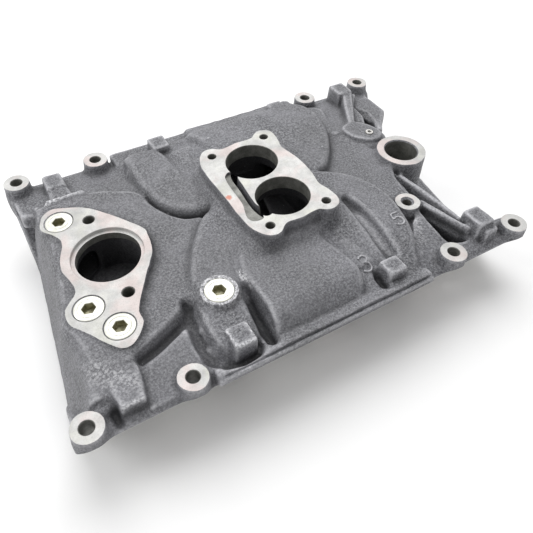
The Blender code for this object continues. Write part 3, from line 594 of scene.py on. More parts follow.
def bosses(clay):
    """Columns of the bolts, the distributor collar, the hold-down hole and the runner plug."""
    columns = [(place, BOSS_RADIUS, 34, 2.5, 3.5) for place in bolt_places()]
    columns += [(COLLAR, COLLAR_RADIUS, 56, 2, 4), (HOLD_BOSS, HOLD_RADIUS, 30, 3, 2.5),
                (RUNNER_PLUG, 13.2, 20, 8, 3)]
    for (x, y, top), radius, length, draft, fillet in columns:
        clay.add(column(x, y, top + PROUD, radius, length, draft, 0.2), fillet)


def plenum_core():
    return slab(box_outline(-28, 34, -43, 43), 34, 66, edge=4)


def hollows(clay):
    """Pockets, the plenum chamber and the cored passages."""
    beside_rib = [(114.8, -70), (117.3, -71), (128, -102), (132, -108), (131, -112), (122, -110.5),
                  (113.5, -107)]
    in_bracket = smooth([(160.5, 80), (166, 80), (166.5, 66), (168, 60), (163, 52), (155, 55), (158, 66)])
    for outline, fillet in ((beside_rib, 0.8), (in_bracket, 1)):
        clay.cut(slab(outline, 26, 80, edge=0, draft=-2), fillet)
    clay.cut(plenum_core(), 2)
    for stations in passages(PORT_CUT):
        clay.cut(duct(stations), 2)


def roughness(clay):
    """Slow unevenness of a sand mould."""
    draws = np.random.default_rng(5)
    for wavelength, height in ((22, 0.35), (6, 0.22)):
        grids = []
        for axis in clay.axes:
            place = (axis - axis[0]) / wavelength
            lower = place.astype(int)
            share = place - lower
            share = share * share * (3 - 2 * share)
            weights = np.zeros((len(axis), int(place[-1]) + 2), np.float32)
            weights[np.arange(len(axis)), lower] = 1 - share
            weights[np.arange(len(axis)), lower + 1] = share
            grids.append(weights)
        noise = draws.uniform(-1, 1, [weights.shape[1] for weights in grids]).astype(np.float32)
        clay.d += height * np.einsum('ai,bj,ck,ijk->abc', *grids, noise, optimize=True)


def blurred(values, sigma):
    """Gaussian blur along each axis of a field, sigma in millimetres."""
    reach = max(1, int(2.5 * sigma / STEP))
    offsets = np.arange(-reach, reach + 1)
    weights = np.exp(-0.5 * (offsets * STEP / sigma) ** 2)
    weights /= weights.sum()
    for axis in range(3):
        total = np.zeros_like(values)
        for offset, weight in zip(offsets, weights):
            shifted = np.roll(values, offset, axis)
            total += np.float32(weight) * shifted
        values = total
    return values


# ---------------------------------------------------------------- field to mesh

def surface_net(clay):
    """Vertices in millimetres and quads of the zero surface: one vertex in each cell that it crosses."""
    d = clay.d
    inside = d < 0
    count = sum(inside[i:d.shape[0] - 1 + i, j:d.shape[1] - 1 + j, k:d.shape[2] - 1 + k].astype(np.int8)
                for i, j, k in CORNERS)
    cells = np.argwhere((count > 0) & (count < 8))
    number = np.full(count.shape, -1, np.int64)
    number[tuple(cells.T)] = np.arange(len(cells))
    values = {c: d[tuple((cells + c).T)] for c in CORNERS}
    total = np.zeros((len(cells), 3))
    hits = np.zeros(len(cells))
    for a in CORNERS:
        for axis in range(3):
            if a[axis]:
                continue
            b = tuple(v + (n == axis) for n, v in enumerate(a))
            va, vb = values[a], values[b]
            crossed = (va < 0) != (vb < 0)
            share = np.where(crossed, va / np.where(crossed, va - vb, 1), 0)
            spot = np.tile(np.array(a, float), (len(cells), 1))
            spot[:, axis] = share
            total += spot * crossed[:, None]
            hits += crossed
    verts = (cells + total / hits[:, None]) * STEP + np.array([axis[0] for axis in clay.axes])
    quads = []
    for axis in range(3):
        u, v = (axis + 1) % 3, (axis + 2) % 3
        low = [slice(1, -1)] * 3
        high = [slice(1, -1)] * 3
        low[axis] = slice(0, -1)
        high[axis] = slice(1, None)
        first, second = inside[tuple(low)], inside[tuple(high)]
        for leaving in (True, False):
            found = np.argwhere(first & ~second if leaving else ~first & second)
            shift = np.ones(3, int)
            shift[axis] = 0
            found = found + shift
            ring = []
            for du, dv in ((-1, -1), (0, -1), (0, 0), (-1, 0)):
                cell = found.copy()
                cell[:, u] += du
                cell[:, v] += dv
                ring.append(number[tuple(cell.T)])
            ring = np.stack(ring, 1)
            quads.append(ring if leaving else ring[:, ::-1])
    return verts, np.concatenate(quads), cells


def quad_edges(quads):
    return np.concatenate([quads[:, [i, (i + 1) % 4]] for i in range(4)])


def closed_net(clay):
    """The surface net after cells where two sheets touch are filled."""
    for _ in range(8):
        verts, quads, cells = surface_net(clay)
        pairs, counts = np.unique(np.sort(quad_edges(quads), axis=1), axis=0, return_counts=True)
        crowded = np.unique(pairs[counts > 2])
        if not len(crowded):
            break
        for corner in CORNERS:
            spots = tuple((cells[crowded] + corner).T)
            clay.d[spots] = np.minimum(clay.d[spots], -0.05)
    return verts, quads


def relax(verts, quads):
    """Smoothing of the net that keeps its volume: one step towards the neighbours and one back."""
    ends = quad_edges(quads)
    for factor in (0.5, -0.52):
        total = np.zeros_like(verts)
        degree = np.zeros(len(verts))
        for a, b in ((0, 1), (1, 0)):
            for n in range(3):
                total[:, n] += np.bincount(ends[:, a], verts[ends[:, b], n], len(verts))
            degree += np.bincount(ends[:, a], minlength=len(verts))
        verts = verts + factor * (total / degree[:, None] - verts)
    return verts


def placed(name, mesh):
    obj = bpy.data.objects.new(name, mesh)
    bpy.context.collection.objects.link(obj)
    return obj


def applied(obj):
    """Replaces the object's mesh with its evaluated mesh."""
    depsgraph = bpy.context.evaluated_depsgraph_get()
    result = bpy.data.meshes.new_from_object(obj.evaluated_get(depsgraph))
    obj.modifiers.clear()
    former, obj.data = obj.data, result
    bpy.data.meshes.remove(former)


def loft(name, rings):
    """A closed solid through rings of points, the first and last capped."""
    bm = bmesh.new()
    loops = [[bm.verts.new(Vector(p) * MM) for p in ring] for ring in rings]
    for lower, upper in zip(loops, loops[1:]):
        for i in range(len(lower)):
            j = (i + 1) % len(lower)
            bm.faces.new((lower[i], lower[j], upper[j], upper[i]))
    bm.faces.new(loops[0][::-1])
    bm.faces.new(loops[-1])
    bm.normal_update()
    bmesh.ops.triangulate(bm, faces=bm.faces)
    bmesh.ops.recalc_face_normals(bm, faces=bm.faces)
    mesh = bpy.data.meshes.new(name)
    bm.to_mesh(mesh)
    bm.free()
    return placed(name, mesh)


def stacked(profile, count):
    """Circles, or polygons of few corners, through a profile of (radius, height)."""
    angles = [2 * math.pi * (i + 0.5) / count for i in range(count)]
    return [[(radius * math.cos(a), radius * math.sin(a), z) for a in angles] for radius, z in profile]


def standing(place, tilt):
    """Puts something drawn about the origin at a place, leaning forward by the tilt."""
    return Matrix.Translation(Vector(place) * MM) @ Matrix.Rotation(-tilt, 4, 'Y')


def turned(name, profile, place, tilt=0, count=64):
    """A solid of revolution: profile is (radius, height) from bottom to top, with its zero at place."""
    obj = loft(name, stacked(profile, count))
    obj.data.transform(standing(place, tilt))
    return obj


def subtract(target, cutter, operation='DIFFERENCE'):
    """One Boolean with the fast solver for closed meshes."""
    modifier = target.modifiers.new("cut", 'BOOLEAN')
    modifier.operation = operation
    modifier.solver = 'MANIFOLD'
    modifier.object = cutter
    applied(target)
    bpy.data.objects.remove(cutter)


def unfold(obj, rounds=4, least_turn=0.25, largest=8e-6, share=0.7):
    """Evens out the few small faces that thinning has turned against their neighbours."""
    bm = bmesh.new()
    bm.from_mesh(obj.data)
    for _ in range(rounds):
        bm.normal_update()
        folded = {v for f in bm.faces for v in f.verts
                  if f.normal.dot(v.normal) < least_turn and f.calc_area() < largest}
        middles = {v: sum((e.other_vert(v).co for e in v.link_edges), Vector()) / len(v.link_edges)
                   for v in folded}
        for v, middle in middles.items():
            v.co = v.co.lerp(middle, share)
    bm.to_mesh(obj.data)
    bm.free()


def one_skin(obj):
    """Keeps the outer skin: sealed pockets left inside the metal are taken out."""
    bm = bmesh.new()
    bm.from_mesh(obj.data)
    skins, left = [], set(bm.faces)
    while left:
        skin, reached = [], [left.pop()]
        while reached:
            face = reached.pop()
            skin.append(face)
            beside = {other for edge in face.edges for other in edge.link_faces} & left
            left -= beside
            reached.extend(beside)
        skins.append(skin)
    skins.sort(key=len)
    bmesh.ops.delete(bm, geom=[face for skin in skins[:-1] for face in skin], context='FACES')
    bm.to_mesh(obj.data)
    bm.free()


def add_numerals(casting):
    """Raised cylinder numbers, laid on the cast surface."""
    for number, (x0, y0, strokes) in enumerate(NUMERALS):
        there_and_back = smooth(strokes + strokes[::-1], 2)
        path = []
        for u, v in there_and_back[:2 * len(strokes) - 1]:
            above = Vector((x0 + u, y0 + v, HIGH[2] + 3)) * MM
            path.append(np.array(casting.ray_cast(above, Vector((0, 0, -1)))[1]) / MM)
        rings = []
        for i, spot in enumerate(path):
            along = path[min(i + 1, len(path) - 1)] - path[max(i - 1, 0)]
            side = np.array([-along[1], along[0], 0])
            side /= max(np.linalg.norm(side), 1e-6)
            rings.append([spot + across * side + np.array([0, 0, up]) for across, up in NUMERAL_STROKE])
        subtract(casting, loft("numeral_%d" % number, rings), 'UNION')


# ---------------------------------------------------------------- machining

def raised(name, outline, level, low, high):
    """A solid on an outline, from low to high against a level that is a function of x and y."""
    return loft(name, [[(x, y, level(x, y) + rise) for x, y in outline] for rise in (low, high)])


def flared(radius, depth, chamfer_depth=0.5, flare=1.5):
    """Profile of a through hole with a chamfer, that reaches above the face it is cut from."""
    return [(radius, -depth), (radius, -chamfer_depth), (radius + flare, 1)]


def pointed(radius, point, depth, chamfer_depth, flare):
    """Profile of a blind drilled hole with a conical end and a chamfer."""
    return [(0.3, -point)] + flared(radius, depth, chamfer_depth, flare)


def machined_planes():
    """Cutters that leave the flat machined faces: each is a solid above or beyond one face."""
    rounds = [(place, BOSS_RADIUS + 3) for place in bolt_places()]
    rounds += [(COLLAR, COLLAR_RADIUS + 3), (HOLD_BOSS, 13.5), (RUNNER_PLUG, 16.5)]
    cutters = [turned("face", [(radius, 0), (radius, 8)], place) for place, radius in rounds]
    for outline, level in ((carb_outline(), pitched(CARB_X, CARB_Z)), (pad_outline(), pitched(PAD_X, PAD_Z))):
        cutters.append(raised("face", grown(outline, 2.2), level, 0, 9))
    beyond, above = 190, 64
    head = [(-FACE_FOOT + 12, -12), (-FACE_FOOT - above, above), (-beyond, above), (-beyond, -12)]
    under = [(-125, 0), (-125, -30), (125, -30), (125, 0)]
    for profile in (head, mirrored(head), under):
        cutters.append(loft("face", [[(x, y, z) for y, z in profile] for x in (-230, 230)]))
    return cutters


def drilled_holes():
    """Cutters for every bore and hole. The throttle and thermostat bores widen where they are left cast."""
    r, low = CARB_BORE_RADIUS, CARB_BORE_DEPTH
    throttle = [(r + 1.5, -27), (r + 1.5, -low - 1), (r, -low), (r, -0.4), (r + 1.4, 1)]
    r, rim = PAD_BORE_RADIUS, PAD_RECESS_RADIUS
    thermostat = [(r + 0.6, -40), (r + 0.6, -9.6), (r, -9), (r, -3), (rim, -2.9), (rim, -0.3),
                  (rim + 1.3, 1)]
    holes = [(flared(BOLT_RADIUS, 60), place, 0, 64) for place in bolt_places()]
    holes += [(throttle, place, PITCH, 96) for place in carb_bores()]
    holes += [(pointed(CARB_STUD_RADIUS, 20, 18, 0.5, 1.5), place, PITCH, 48) for place in carb_studs()]
    holes.append((thermostat, (PAD_X, 0, PAD_Z), PITCH, 96))
    holes += [(pointed(PAD_SCREW_RADIUS, 24, 21.5, 0.6, 1.6), place, PITCH, 48) for place in pad_screws()]
    holes += [(flared(COLLAR_BORE_RADIUS, 90, 1, 2), COLLAR, 0, 96),
              (pointed(HOLD_HOLE_RADIUS, 22, 20, 1.6, 2.8), HOLD_BOSS, 0, 64),
              (flared(PIN_RADIUS + SCREWED_GAP, 17, 0.3, 1.3), PIN, 0, 48)]
    holes += [(flared(PLUG_RADIUS + SCREWED_GAP, PLUG_LENGTH + 0.4, 0.7, 1.7), place, tilt, 64)
              for *place, tilt in plug_places().values()]
    return [turned("hole", *hole) for hole in holes]


def carb_channel():
    """The vent channel beside the throttle bores: a shallow floor and a deep groove along its inner side."""
    shallow = smooth([(-26.5, 14), (-24.5, 19.5), (-20, 22), (-17.8, 18), (-18.5, 0), (-20.5, -24),
                      (-21.5, -36), (-25, -38.5), (-31, -36.5), (-32.8, -31), (-31, -24), (-28.5, -15),
                      (-27.6, 4)])
    deep = smooth([(-12, 24.5), (-16.9, 12), (-17.8, 3), (-19.6, -14), (-19.4, -24), (-13, -31), (-14.5, -37),
                   (-20.5, -36.5), (-23.4, -27), (-23.4, -16), (-21.8, 0), (-21.2, 12), (-19.5, 19.5),
                   (-14, 28)])
    return [raised("channel", outline, pitched(CARB_X, CARB_Z), -depth, 4)
            for outline, depth in zip((shallow, deep), CHANNEL_DEPTHS)]


def lip_grooves():
    """The narrow groove along each ledge, wavering slightly and running out at both ends."""
    cutters = []
    for side, x0, x1 in ((-1, -104, 72), (1, -7, 103)):
        section = [(side * 129.5, 57.5), (side * 128.7, 54.6), (side * 128.1, 54.6), (side * 127.3, 57.5)]
        middle = [(x, 0.25 * math.sin(x / 9.0)) for x in np.arange(x0 + 4, x1 - 3, 3.0)]
        spine = [(x0, 2)] + middle + [(x1, 2)]
        cutters.append(loft("groove", [[(x, y, z + rise) for y, z in section] for x, rise in spine]))
    return cutters


def casting_mesh():
    """The whole casting: cast shape, machined faces and holes."""
    clay = Clay()
    for shape_group in (lower_body, front_wall, plateau, corner_panels, lips, near_runners, far_runners,
                        rear_deck, trenches, lugs, carb_and_pads, bosses, hollows):
        shape_group(clay)
    clay.d = blurred(np.clip(clay.d, -FAR, FAR), 0.9)
    roughness(clay)
    x, y, _ = clay.axes
    clay.d = np.maximum(clay.d, (np.abs(x) - SIDE_X)[:, None, None])
    clay.d = np.maximum(clay.d, (np.abs(y) - SIDE_Y)[None, :, None])
    verts, quads = closed_net(clay)
    mesh = bpy.data.meshes.new("casting")
    mesh.from_pydata((relax(verts, quads) * MM).tolist(), [], quads.tolist())
    mesh.validate()
    casting = placed("casting", mesh)
    thin = casting.modifiers.new("thin", 'DECIMATE')
    thin.ratio = min(1, CAST_TRIANGLES / (2 * len(quads)))
    applied(casting)
    unfold(casting)
    add_numerals(casting)
    for cutter in machined_planes() + carb_channel() + lip_grooves() + drilled_holes():
        subtract(casting, cutter)
    one_skin(casting)
    return casting, clay


# ---------------------------------------------------------------- materials

class Nodes:
    """A material's node tree with short calls to add nodes and link them."""

    def __init__(self, name):
        self.material = bpy.data.materials.new(name)
        self.material.use_nodes = True
        self.tree = self.material.node_tree
        self.shader = self.tree.nodes["Principled BSDF"]
        self.place = self.add('ShaderNodeTexCoord').outputs["Object"]

    def add(self, kind, inputs=None, **settings):
        node = self.tree.nodes.new(kind)
        for name, value in settings.items():
            setattr(node, name, value)
        for name, value in (inputs or {}).items():
            self.feed(node.inputs[name], value)
        return node

    def feed(self, socket, value):
        if isinstance(value, bpy.types.NodeSocket):
            self.tree.links.new(value, socket)
        else:
            socket.default_value = value

    def noise(self, scale, detail=3, rough=0.55):
        return self.add('ShaderNodeTexNoise', {"Vector": self.place, "Scale": scale, "Detail": detail,
                                               "Roughness": rough}).outputs["Fac"]

    def voronoi(self, scale):
        return self.add('ShaderNodeTexVoronoi', {"Vector": self.place, "Scale": scale}).outputs["Distance"]

    def ramp(self, value, low, high, out_low=0, out_high=1):
        return self.add('ShaderNodeMapRange', {"Value": value, "From Min": low, "From Max": high,
                                               "To Min": out_low, "To Max": out_high}).outputs["Result"]

    def math(self, operation, a, b):
        return self.add('ShaderNodeMath', {0: a, 1: b}, operation=operation).outputs[0]

    def mix(self, factor, a, b):
        a, b = ((*colour, 1) if isinstance(colour, tuple) else colour for colour in (a, b))
        return self.add('ShaderNodeMix', {"Factor": factor, 6: a, 7: b}, data_type='RGBA').outputs[2]

    def attribute(self, name):
        return self.add('ShaderNodeAttribute', attribute_name=name).outputs["Fac"]

    def finish(self, colour, roughness, metallic, bumps=()):
        """Feeds the shader. Each bump is a height, its depth in metres and its strength."""
        surface = {"Base Color": colour, "Roughness": roughness, "Metallic": metallic}
        normal = {}
        for height, distance, strength in bumps:
            bump = {"Height": height, "Distance": distance, "Strength": strength, **normal}
            normal = {"Normal": self.add('ShaderNodeBump', bump).outputs["Normal"]}
        for name, value in {**surface, **normal}.items():
            self.feed(self.shader.inputs[name], value)
        return self.material


def sand_cast():
    """Dark sand-cast iron: grainy, paler where scuffed, paler on edges as wear and as painted highlight, and
    with painted shade in hollows, pockets, passages and bores.
    """
    n = Nodes("sand_cast_iron")
    grain = n.noise(620, detail=3, rough=0.7)
    sand = n.noise(1150, detail=2, rough=0.6)
    blotch = n.noise(26, detail=4, rough=0.6)
    patch = n.noise(9, detail=2)
    speck = n.noise(480, detail=3, rough=0.7)
    colour = n.mix(n.ramp(grain, 0.38, 0.62), (0.072, 0.073, 0.081), (0.300, 0.302, 0.318))
    colour = n.mix(n.ramp(sand, 0.36, 0.56, 0.62, 0), colour, (0.055, 0.055, 0.060))
    colour = n.mix(n.ramp(blotch, 0.38, 0.68, 0, 0.38), colour, (0.30, 0.30, 0.325))
    colour = n.mix(n.ramp(patch, 0.56, 0.42, 0, 0.25), colour, (0.13, 0.13, 0.135))
    # Painted shade: darker where the surface lies in a hollow.
    cavity_shade = n.ramp(n.attribute("cavity_shade"), 0.2, 1.2)
    colour = n.mix(n.math('MULTIPLY', cavity_shade, 0.85), colour, (0.030, 0.030, 0.033))
    # Painted shade, near black, in pockets, valleys, passages and bores.
    colour = n.mix(n.math('MULTIPLY', n.attribute("deep_shade"), 0.9), colour, (0.014, 0.014, 0.016))
    # Paler on convex edges, partly wear and partly a painted highlight, mottled by specks and held back in
    # the painted shade.
    edge_rub_highlight = n.math('MULTIPLY', n.ramp(n.attribute("edge_rub_highlight"), 0.12, 0.5), n.ramp(speck, 0.34, 0.56, 0.25, 1))
    edge_rub_highlight = n.math('MULTIPLY', edge_rub_highlight, n.ramp(n.attribute("deep_shade"), 0.2, 1, 0.75, 0.1))
    colour = n.mix(edge_rub_highlight, colour, (0.56, 0.56, 0.585))
    scuff = n.math('MULTIPLY', n.attribute("scuff"), n.ramp(speck, 0.47, 0.58))
    colour = n.mix(n.math('MULTIPLY', scuff, 0.9), colour, (0.82, 0.82, 0.84))
    colour = n.mix(n.ramp(speck, 0.69, 0.75, 0, 0.6), colour, (0.62, 0.62, 0.64))
    rough = n.ramp(grain, 0.3, 0.7, 0.66, 0.48)
    pits = n.voronoi(620)
    return n.finish(colour, rough, 0.15, ((grain, 0.0008, 0.75), (sand, 0.0005, 0.7), (pits, 0.0004, 0.3),
                                          (blotch, 0.0012, 0.25)))


def machined_iron():
    """Pale milled iron, faintly stained pink and yellow, with a dab of orange paint."""
    n = Nodes("machined_iron")
    blotch = n.noise(60, detail=5, rough=0.7)
    tint = n.noise(34, detail=3)
    fine = n.noise(1300, detail=3, rough=0.7)
    colour = n.mix(n.ramp(blotch, 0.35, 0.68), (0.42, 0.42, 0.41), (0.64, 0.635, 0.62))
    colour = n.mix(n.ramp(tint, 0.50, 0.62, 0, 0.45), colour, (0.64, 0.50, 0.475))
    colour = n.mix(n.ramp(tint, 0.46, 0.34, 0, 0.35), colour, (0.58, 0.58, 0.47))
    colour = n.mix(n.ramp(fine, 0.50, 0.72, 0, 0.5), colour, (0.28, 0.275, 0.26))
    ends = {0: n.place, 1: Vector(PAINT_DAB) * MM}
    reach = n.add('ShaderNodeVectorMath', ends, operation='DISTANCE').outputs["Value"]
    edge = n.math('ADD', reach, n.ramp(n.noise(500), 0.3, 0.7, -0.0008, 0.0008))
    colour = n.mix(n.ramp(edge, 0.0031, 0.0017, 0, 0.92), colour, (0.50, 0.18, 0.12))
    rough = n.ramp(blotch, 0.3, 0.7, 0.55, 0.42)
    return n.finish(colour, rough, 0.2, ((fine, 0.00014, 0.5), (blotch, 0.0003, 0.15)))


def bored_iron():
    """Walls of bores and holes: greyer, with an oily film."""
    n = Nodes("bored_iron")
    blotch = n.noise(120, detail=4, rough=0.65)
    fine = n.noise(1300, detail=3, rough=0.7)
    colour = n.mix(n.ramp(blotch, 0.35, 0.7), (0.12, 0.12, 0.108), (0.27, 0.27, 0.25))
    colour = n.mix(n.ramp(fine, 0.5, 0.72, 0, 0.6), colour, (0.06, 0.06, 0.055))
    return n.finish(colour, n.ramp(blotch, 0.3, 0.7, 0.55, 0.4), 0.3, ((fine, 0.0002, 0.5),))


def plug_steel():
    """Bright plug faces, brassy in the sockets."""
    n = Nodes("plug_steel")
    blotch = n.noise(160, detail=4, rough=0.65)
    fine = n.noise(1700, detail=3, rough=0.7)
    depth = n.ramp(n.attribute("depth"), 0.2, 1)
    colour = n.mix(n.ramp(blotch, 0.35, 0.7), (0.66, 0.66, 0.58), (0.88, 0.88, 0.83))
    colour = n.mix(n.ramp(fine, 0.56, 0.72, 0, 0.45), colour, (0.36, 0.35, 0.28))
    colour = n.mix(depth, colour, n.mix(n.ramp(blotch, 0.4, 0.6), (0.20, 0.19, 0.11), (0.46, 0.44, 0.30)))
    rough = n.ramp(blotch, 0.3, 0.7, 0.45, 0.3)
    return n.finish(colour, rough, 0.4, ((fine, 0.00012, 0.5), (blotch, 0.0004, 0.2)))


def pin_steel():
    n = Nodes("pin_steel")
    fine = n.noise(1500, detail=3, rough=0.7)
    colour = n.mix(n.ramp(fine, 0.4, 0.7), (0.62, 0.61, 0.59), (0.36, 0.35, 0.33))
    return n.finish(colour, n.ramp(fine, 0.3, 0.7, 0.4, 0.55), 0.6, ((fine, 0.00015, 0.5),))


def floor_white():
    n = Nodes("floor_white")
    soft = n.noise(2)
    return n.finish(n.mix(soft, (0.90, 0.90, 0.90), (0.93, 0.93, 0.93)), 0.8, 0)


# ---------------------------------------------------------------- faces to materials

def read(items, name, width=3):
    """One property of all items of a mesh, in rows."""
    values = np.empty(len(items) * width)
    items.foreach_get(name, values)
    return values.reshape(-1, width)


def store(mesh, name, values):
    mesh.attributes.new(name, 'FLOAT', 'POINT').data.foreach_set("value", values.astype(np.float32))


def on_plane(centres, normals, point, normal, tolerance=0.02):
    normal = np.array(normal) / np.linalg.norm(normal)
    return (np.abs((centres - np.array(point)) @ normal) < tolerance) & (normals @ normal > 0.999)


def near_axis(centres, place, radius, tilt=0, depth=60):
    """Faces within a cylinder about a bore's axis, from just above its mouth down to the depth."""
    up = np.array([-math.sin(tilt), 0, math.cos(tilt)])
    offset = centres - np.array(place)
    along = offset @ up
    out = np.linalg.norm(offset - along[:, None] * up, axis=1)
    return (out < radius) & (along > -depth) & (along < 2)


def assign_slots(casting):
    """Gives each face of the casting its cast, machined or bored slot."""
    polygons = casting.data.polygons
    centres, normals = read(polygons, "center") / MM, read(polygons, "normal")
    slots = np.full(len(centres), CAST, np.int32)
    lean = (-math.sin(PITCH), 0, math.cos(PITCH))
    for foot, normal in ((-FACE_FOOT, (0, -1, -1)), (FACE_FOOT, (0, 1, -1)), (0, (0, 0, -1))):
        slots[on_plane(centres, normals, (0, foot, 0), normal)] = MACHINED
    tops = [(place, BOSS_RADIUS + 3) for place in bolt_places()]
    for (x, y, z), reach in tops + [(COLLAR, COLLAR_RADIUS + 3), (HOLD_BOSS, 13)]:
        near = np.hypot(centres[:, 0] - x, centres[:, 1] - y) < reach
        slots[on_plane(centres, normals, (0, 0, z), (0, 0, 1)) & near] = MACHINED
    for x, z, outline in ((CARB_X, CARB_Z, carb_outline()), (PAD_X, PAD_Z, pad_outline())):
        inside = polygon_distance(grown(outline, 1.5), centres[:, 0], centres[:, 1]) < 0
        slots[on_plane(centres, normals, (x, 0, z), lean) & inside] = MACHINED

    thermostat = (PAD_X, 0, PAD_Z)
    holes = [(place, BOLT_RADIUS, 0, 60) for place in bolt_places()]
    holes += [(place, CARB_BORE_RADIUS, PITCH, CARB_BORE_DEPTH + 0.2) for place in carb_bores()]
    holes += [(place, CARB_STUD_RADIUS, PITCH, 24) for place in carb_studs()]
    holes += [(place, PAD_SCREW_RADIUS, PITCH, 26) for place in pad_screws()]
    holes += [(COLLAR, COLLAR_BORE_RADIUS, 0, 70), (HOLD_BOSS, HOLD_HOLE_RADIUS, 0, 24),
              (thermostat, PAD_BORE_RADIUS, PITCH, 8.5)]
    facing_up = normals @ np.array(lean) > 0.9
    for place, radius, tilt, depth in holes:
        slots[near_axis(centres, place, radius + 0.3, tilt, depth) & ~facing_up] = BORED
    slots[near_axis(centres, thermostat, PAD_RECESS_RADIUS + 0.3, PITCH, 3.5)] = MACHINED
    channel_floor = (CARB_X, 0, CARB_Z - CHANNEL_DEPTHS[0] / math.cos(PITCH))
    channel = on_plane(centres, normals, channel_floor, lean, 0.1)
    slots[channel & (np.abs(centres[:, 0]) < 40)] = BORED
    polygons.foreach_set("material_index", slots)


def sampled(values, clay, points):
    """Field values at points, straight-line interpolated."""
    place = (points - np.array([axis[0] for axis in clay.axes])) / STEP
    place = np.clip(place, 0, np.array(values.shape) - 1.001)
    low = place.astype(int)
    share = place - low
    total = np.zeros(len(points))
    for i, j, k in CORNERS:
        weight = np.ones(len(points))
        for axis, upper in enumerate((i, j, k)):
            weight *= share[:, axis] if upper else 1 - share[:, axis]
        total += weight * values[low[:, 0] + i, low[:, 1] + j, low[:, 2] + k]
    return total


def smeared(points, streaks):
    """How strongly each point lies within any of the streaks, fading outward."""
    found = np.zeros(len(points))
    for start, end, radius, strength in streaks:
        start, end = np.array(start, float), np.array(end, float)
        t = np.clip((points - start) @ (end - start) / ((end - start) @ (end - start)), 0, 1)
        away = np.linalg.norm(points - start - t[:, None] * (end - start), axis=1)
        found = np.maximum(found, strength * np.clip(1.6 * (1 - away / radius), 0, 1))
    return found


def wear_and_light_attributes(casting, clay):
    """Stores at each vertex its painted shade in hollows, its edge wear with painted highlight, its scuffs,
    and its painted shade in pockets, passages and bores.
    """
    points = read(casting.data.vertices, "co") / MM
    columns = points.T[:, :, None, None]
    # Painted shade in hollows: how far the surface lies below its blurred surroundings.
    cavity_shade = sampled(clay.d - blurred(clay.d, 3.5), clay, points)
    # Wear and painted highlight on edges: how far the surface stands above its blurred surroundings.
    edge_rub_highlight = sampled(blurred(clay.d, 1.6) - clay.d, clay, points)
    # Numerals stand proud of the field, and their tops are painted bright, as worn metal and as a painted
    # highlight.
    proud = np.clip(3 * (sampled(clay.d, clay, points) - 0.35), 0, 0.6)
    numeral_band = (np.abs(points[:, 1] + 87) < 20) & (points[:, 2] > 55)
    edge_rub_highlight = np.maximum(edge_rub_highlight, proud * numeral_band)
    # The passages, and the bores below the depth to which they are machined, are painted in shade.
    cored = [duct(stations) for stations in passages(PORT_CUT)] + [plenum_core()]
    within = np.minimum.reduce([shape(*columns).ravel() for _, shape in cored])
    deep_shade = np.maximum(smeared(points, DEEP_SHADE_STREAKS), np.clip(1.7 - np.abs(within), 0, 1))
    bores = [(place, CARB_BORE_RADIUS + 3, CARB_BORE_DEPTH + 0.5) for place in carb_bores()]
    for place, radius, depth in bores + [((PAD_X, 0, PAD_Z), PAD_BORE_RADIUS + 3, 9.3)]:
        in_bore = near_axis(points, place, radius, PITCH)
        deep_shade[in_bore & ~near_axis(points, place, radius, PITCH, depth)] = 1
    wear_and_light = {"cavity_shade": cavity_shade, "edge_rub_highlight": edge_rub_highlight, "scuff": smeared(points, SCUFFS), "deep_shade": deep_shade}
    for name, values in wear_and_light.items():
        store(casting.data, name, values)


def clad(obj, material):
    """Gives every face of the object one material."""
    obj.data.materials.clear()
    obj.data.materials.append(material)
    obj.data.polygons.foreach_set("material_index", np.zeros(len(obj.data.polygons), np.int32))


def shade(obj, degrees=35):
    """Smooth shading, with sharp edges above the angle."""
    obj.data.shade_smooth()
    obj.data.set_sharp_from_angle(angle=math.radians(degrees))


# ---------------------------------------------------------------- pieces

def build_casting():
    casting, clay = casting_mesh()
    wear_and_light_attributes(casting, clay)
    casting.data.materials.clear()
    for material in (sand_cast(), machined_iron(), bored_iron()):
        casting.data.materials.append(material)
    assign_slots(casting)
    shade(casting)
    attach(casting, "root")
    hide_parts("manifold_casting")


def build_plugs():
    """Hex-socket plugs with a chamfered rim, a turned groove, a countersunk socket and its drilled floor."""
    steel = plug_steel()
    r = PLUG_RADIUS
    body = [(r - 0.6, -PLUG_LENGTH), (r, -12), (r, -0.8), (r - 0.15, -0.3), (r - 0.6, -0.05), (r - 1.1, 0),
            (r - 2.6, 0), (r - 2.9, -0.25), (r - 3.2, 0), (r - 4.4, 0)]
    hexagon = [(4.7, -6.1), (4.95, -5.6), (4.95, -0.5), (5.8, 0.6)]
    drilled = [(0.4, -7.6), (3.8, -6), (3.8, -5.4)]
    turn = Matrix.Rotation(math.radians(12), 4, 'Z')
    for node, (x, y, z, tilt) in plug_places().items():
        plug = loft("steel_" + node, stacked(body, 96))
        subtract(plug, loft("socket", stacked(hexagon, 6)))
        subtract(plug, loft("drill", stacked(drilled, 32)))
        x_own, y_own, z_own = (read(plug.data.vertices, "co") / MM).T
        store(plug.data, "depth", (z_own < -0.4) & (np.hypot(x_own, y_own) < 7.5))
        plug.data.transform(standing((x, y, z), tilt) @ turn)
        clad(plug, steel)
        shade(plug, 28)
        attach(plug, "root")
        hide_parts(node)


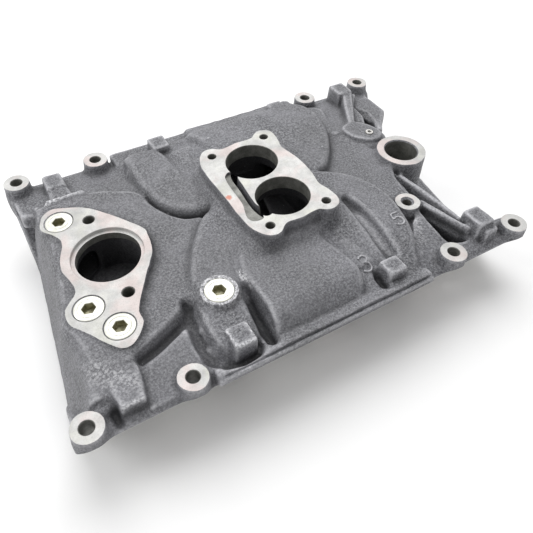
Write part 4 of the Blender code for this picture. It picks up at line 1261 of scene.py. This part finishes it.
def build_pin():
    """The hollow pin in the bracket's foot."""
    r = PIN_RADIUS
    body = [(r - 0.3, -10.8), (r, -10.4), (r, 0.8), (r - 0.4, 1.2), (2, 1.2)]
    pin = turned("spring_pin", body, PIN, count=48)
    subtract(pin, turned("hole", [(1.8, -6), (1.8, 0.9), (2.3, 3)], PIN, count=48))
    clad(pin, pin_steel())
    shade(pin)
    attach(pin, "root")
    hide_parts("bracket_pin")


def build_stage():
    """A pale floor far larger than the view, soft lights and the camera."""
    floor = loft("floor", [[(*corner, z) for corner in box_outline(-9000, 9000, -9000, 9000)]
                           for z in (-20, -0.3)])
    floor.data.materials.append(floor_white())

    world = bpy.data.worlds.new("soft_white")
    bpy.context.scene.world = world
    world.use_nodes = True
    background = world.node_tree.nodes["Background"]
    background.inputs["Color"].default_value = (1, 1, 1, 1)
    background.inputs["Strength"].default_value = 0.56
    bpy.context.scene.view_settings.view_transform = 'Standard'

    for name, place, size, power in (("key", (0.4, 0.85, 1.7), 1.7, 29),
                                     ("left", (-1.3, 0.5, 1), 1, 9)):
        lamp = bpy.data.lights.new(name, 'AREA')
        lamp.size = size
        lamp.energy = power
        light = placed(name, lamp)
        light.location = place
        light.rotation_euler = (-Vector(place)).to_track_quat('-Z', 'Y').to_euler()

    # The camera looks ahead by these angles, with its horizon turned by the last.
    azimuth, elevation, roll = (math.radians(a) for a in (33.51, 47.96, 3.40))
    ahead = Vector((math.sin(azimuth) * math.cos(elevation), math.cos(azimuth) * math.cos(elevation),
                    -math.sin(elevation)))
    right = ahead.cross(Vector((0, 0, 1))).normalized()
    up = right.cross(ahead)
    rolled_right = math.cos(roll) * right + math.sin(roll) * up
    rolled_up = math.cos(roll) * up - math.sin(roll) * right
    camera = placed("camera", bpy.data.cameras.new("camera"))
    camera.data.sensor_width = 36
    camera.data.lens = 36.78
    pose = Matrix((rolled_right, rolled_up, -ahead)).transposed().to_4x4()
    pose.translation = Vector((-184, -289.3, 361.1)) * MM
    camera.matrix_world = pose
    bpy.context.scene.camera = camera


build_stage()
build_plugs()
build_pin()
build_casting()
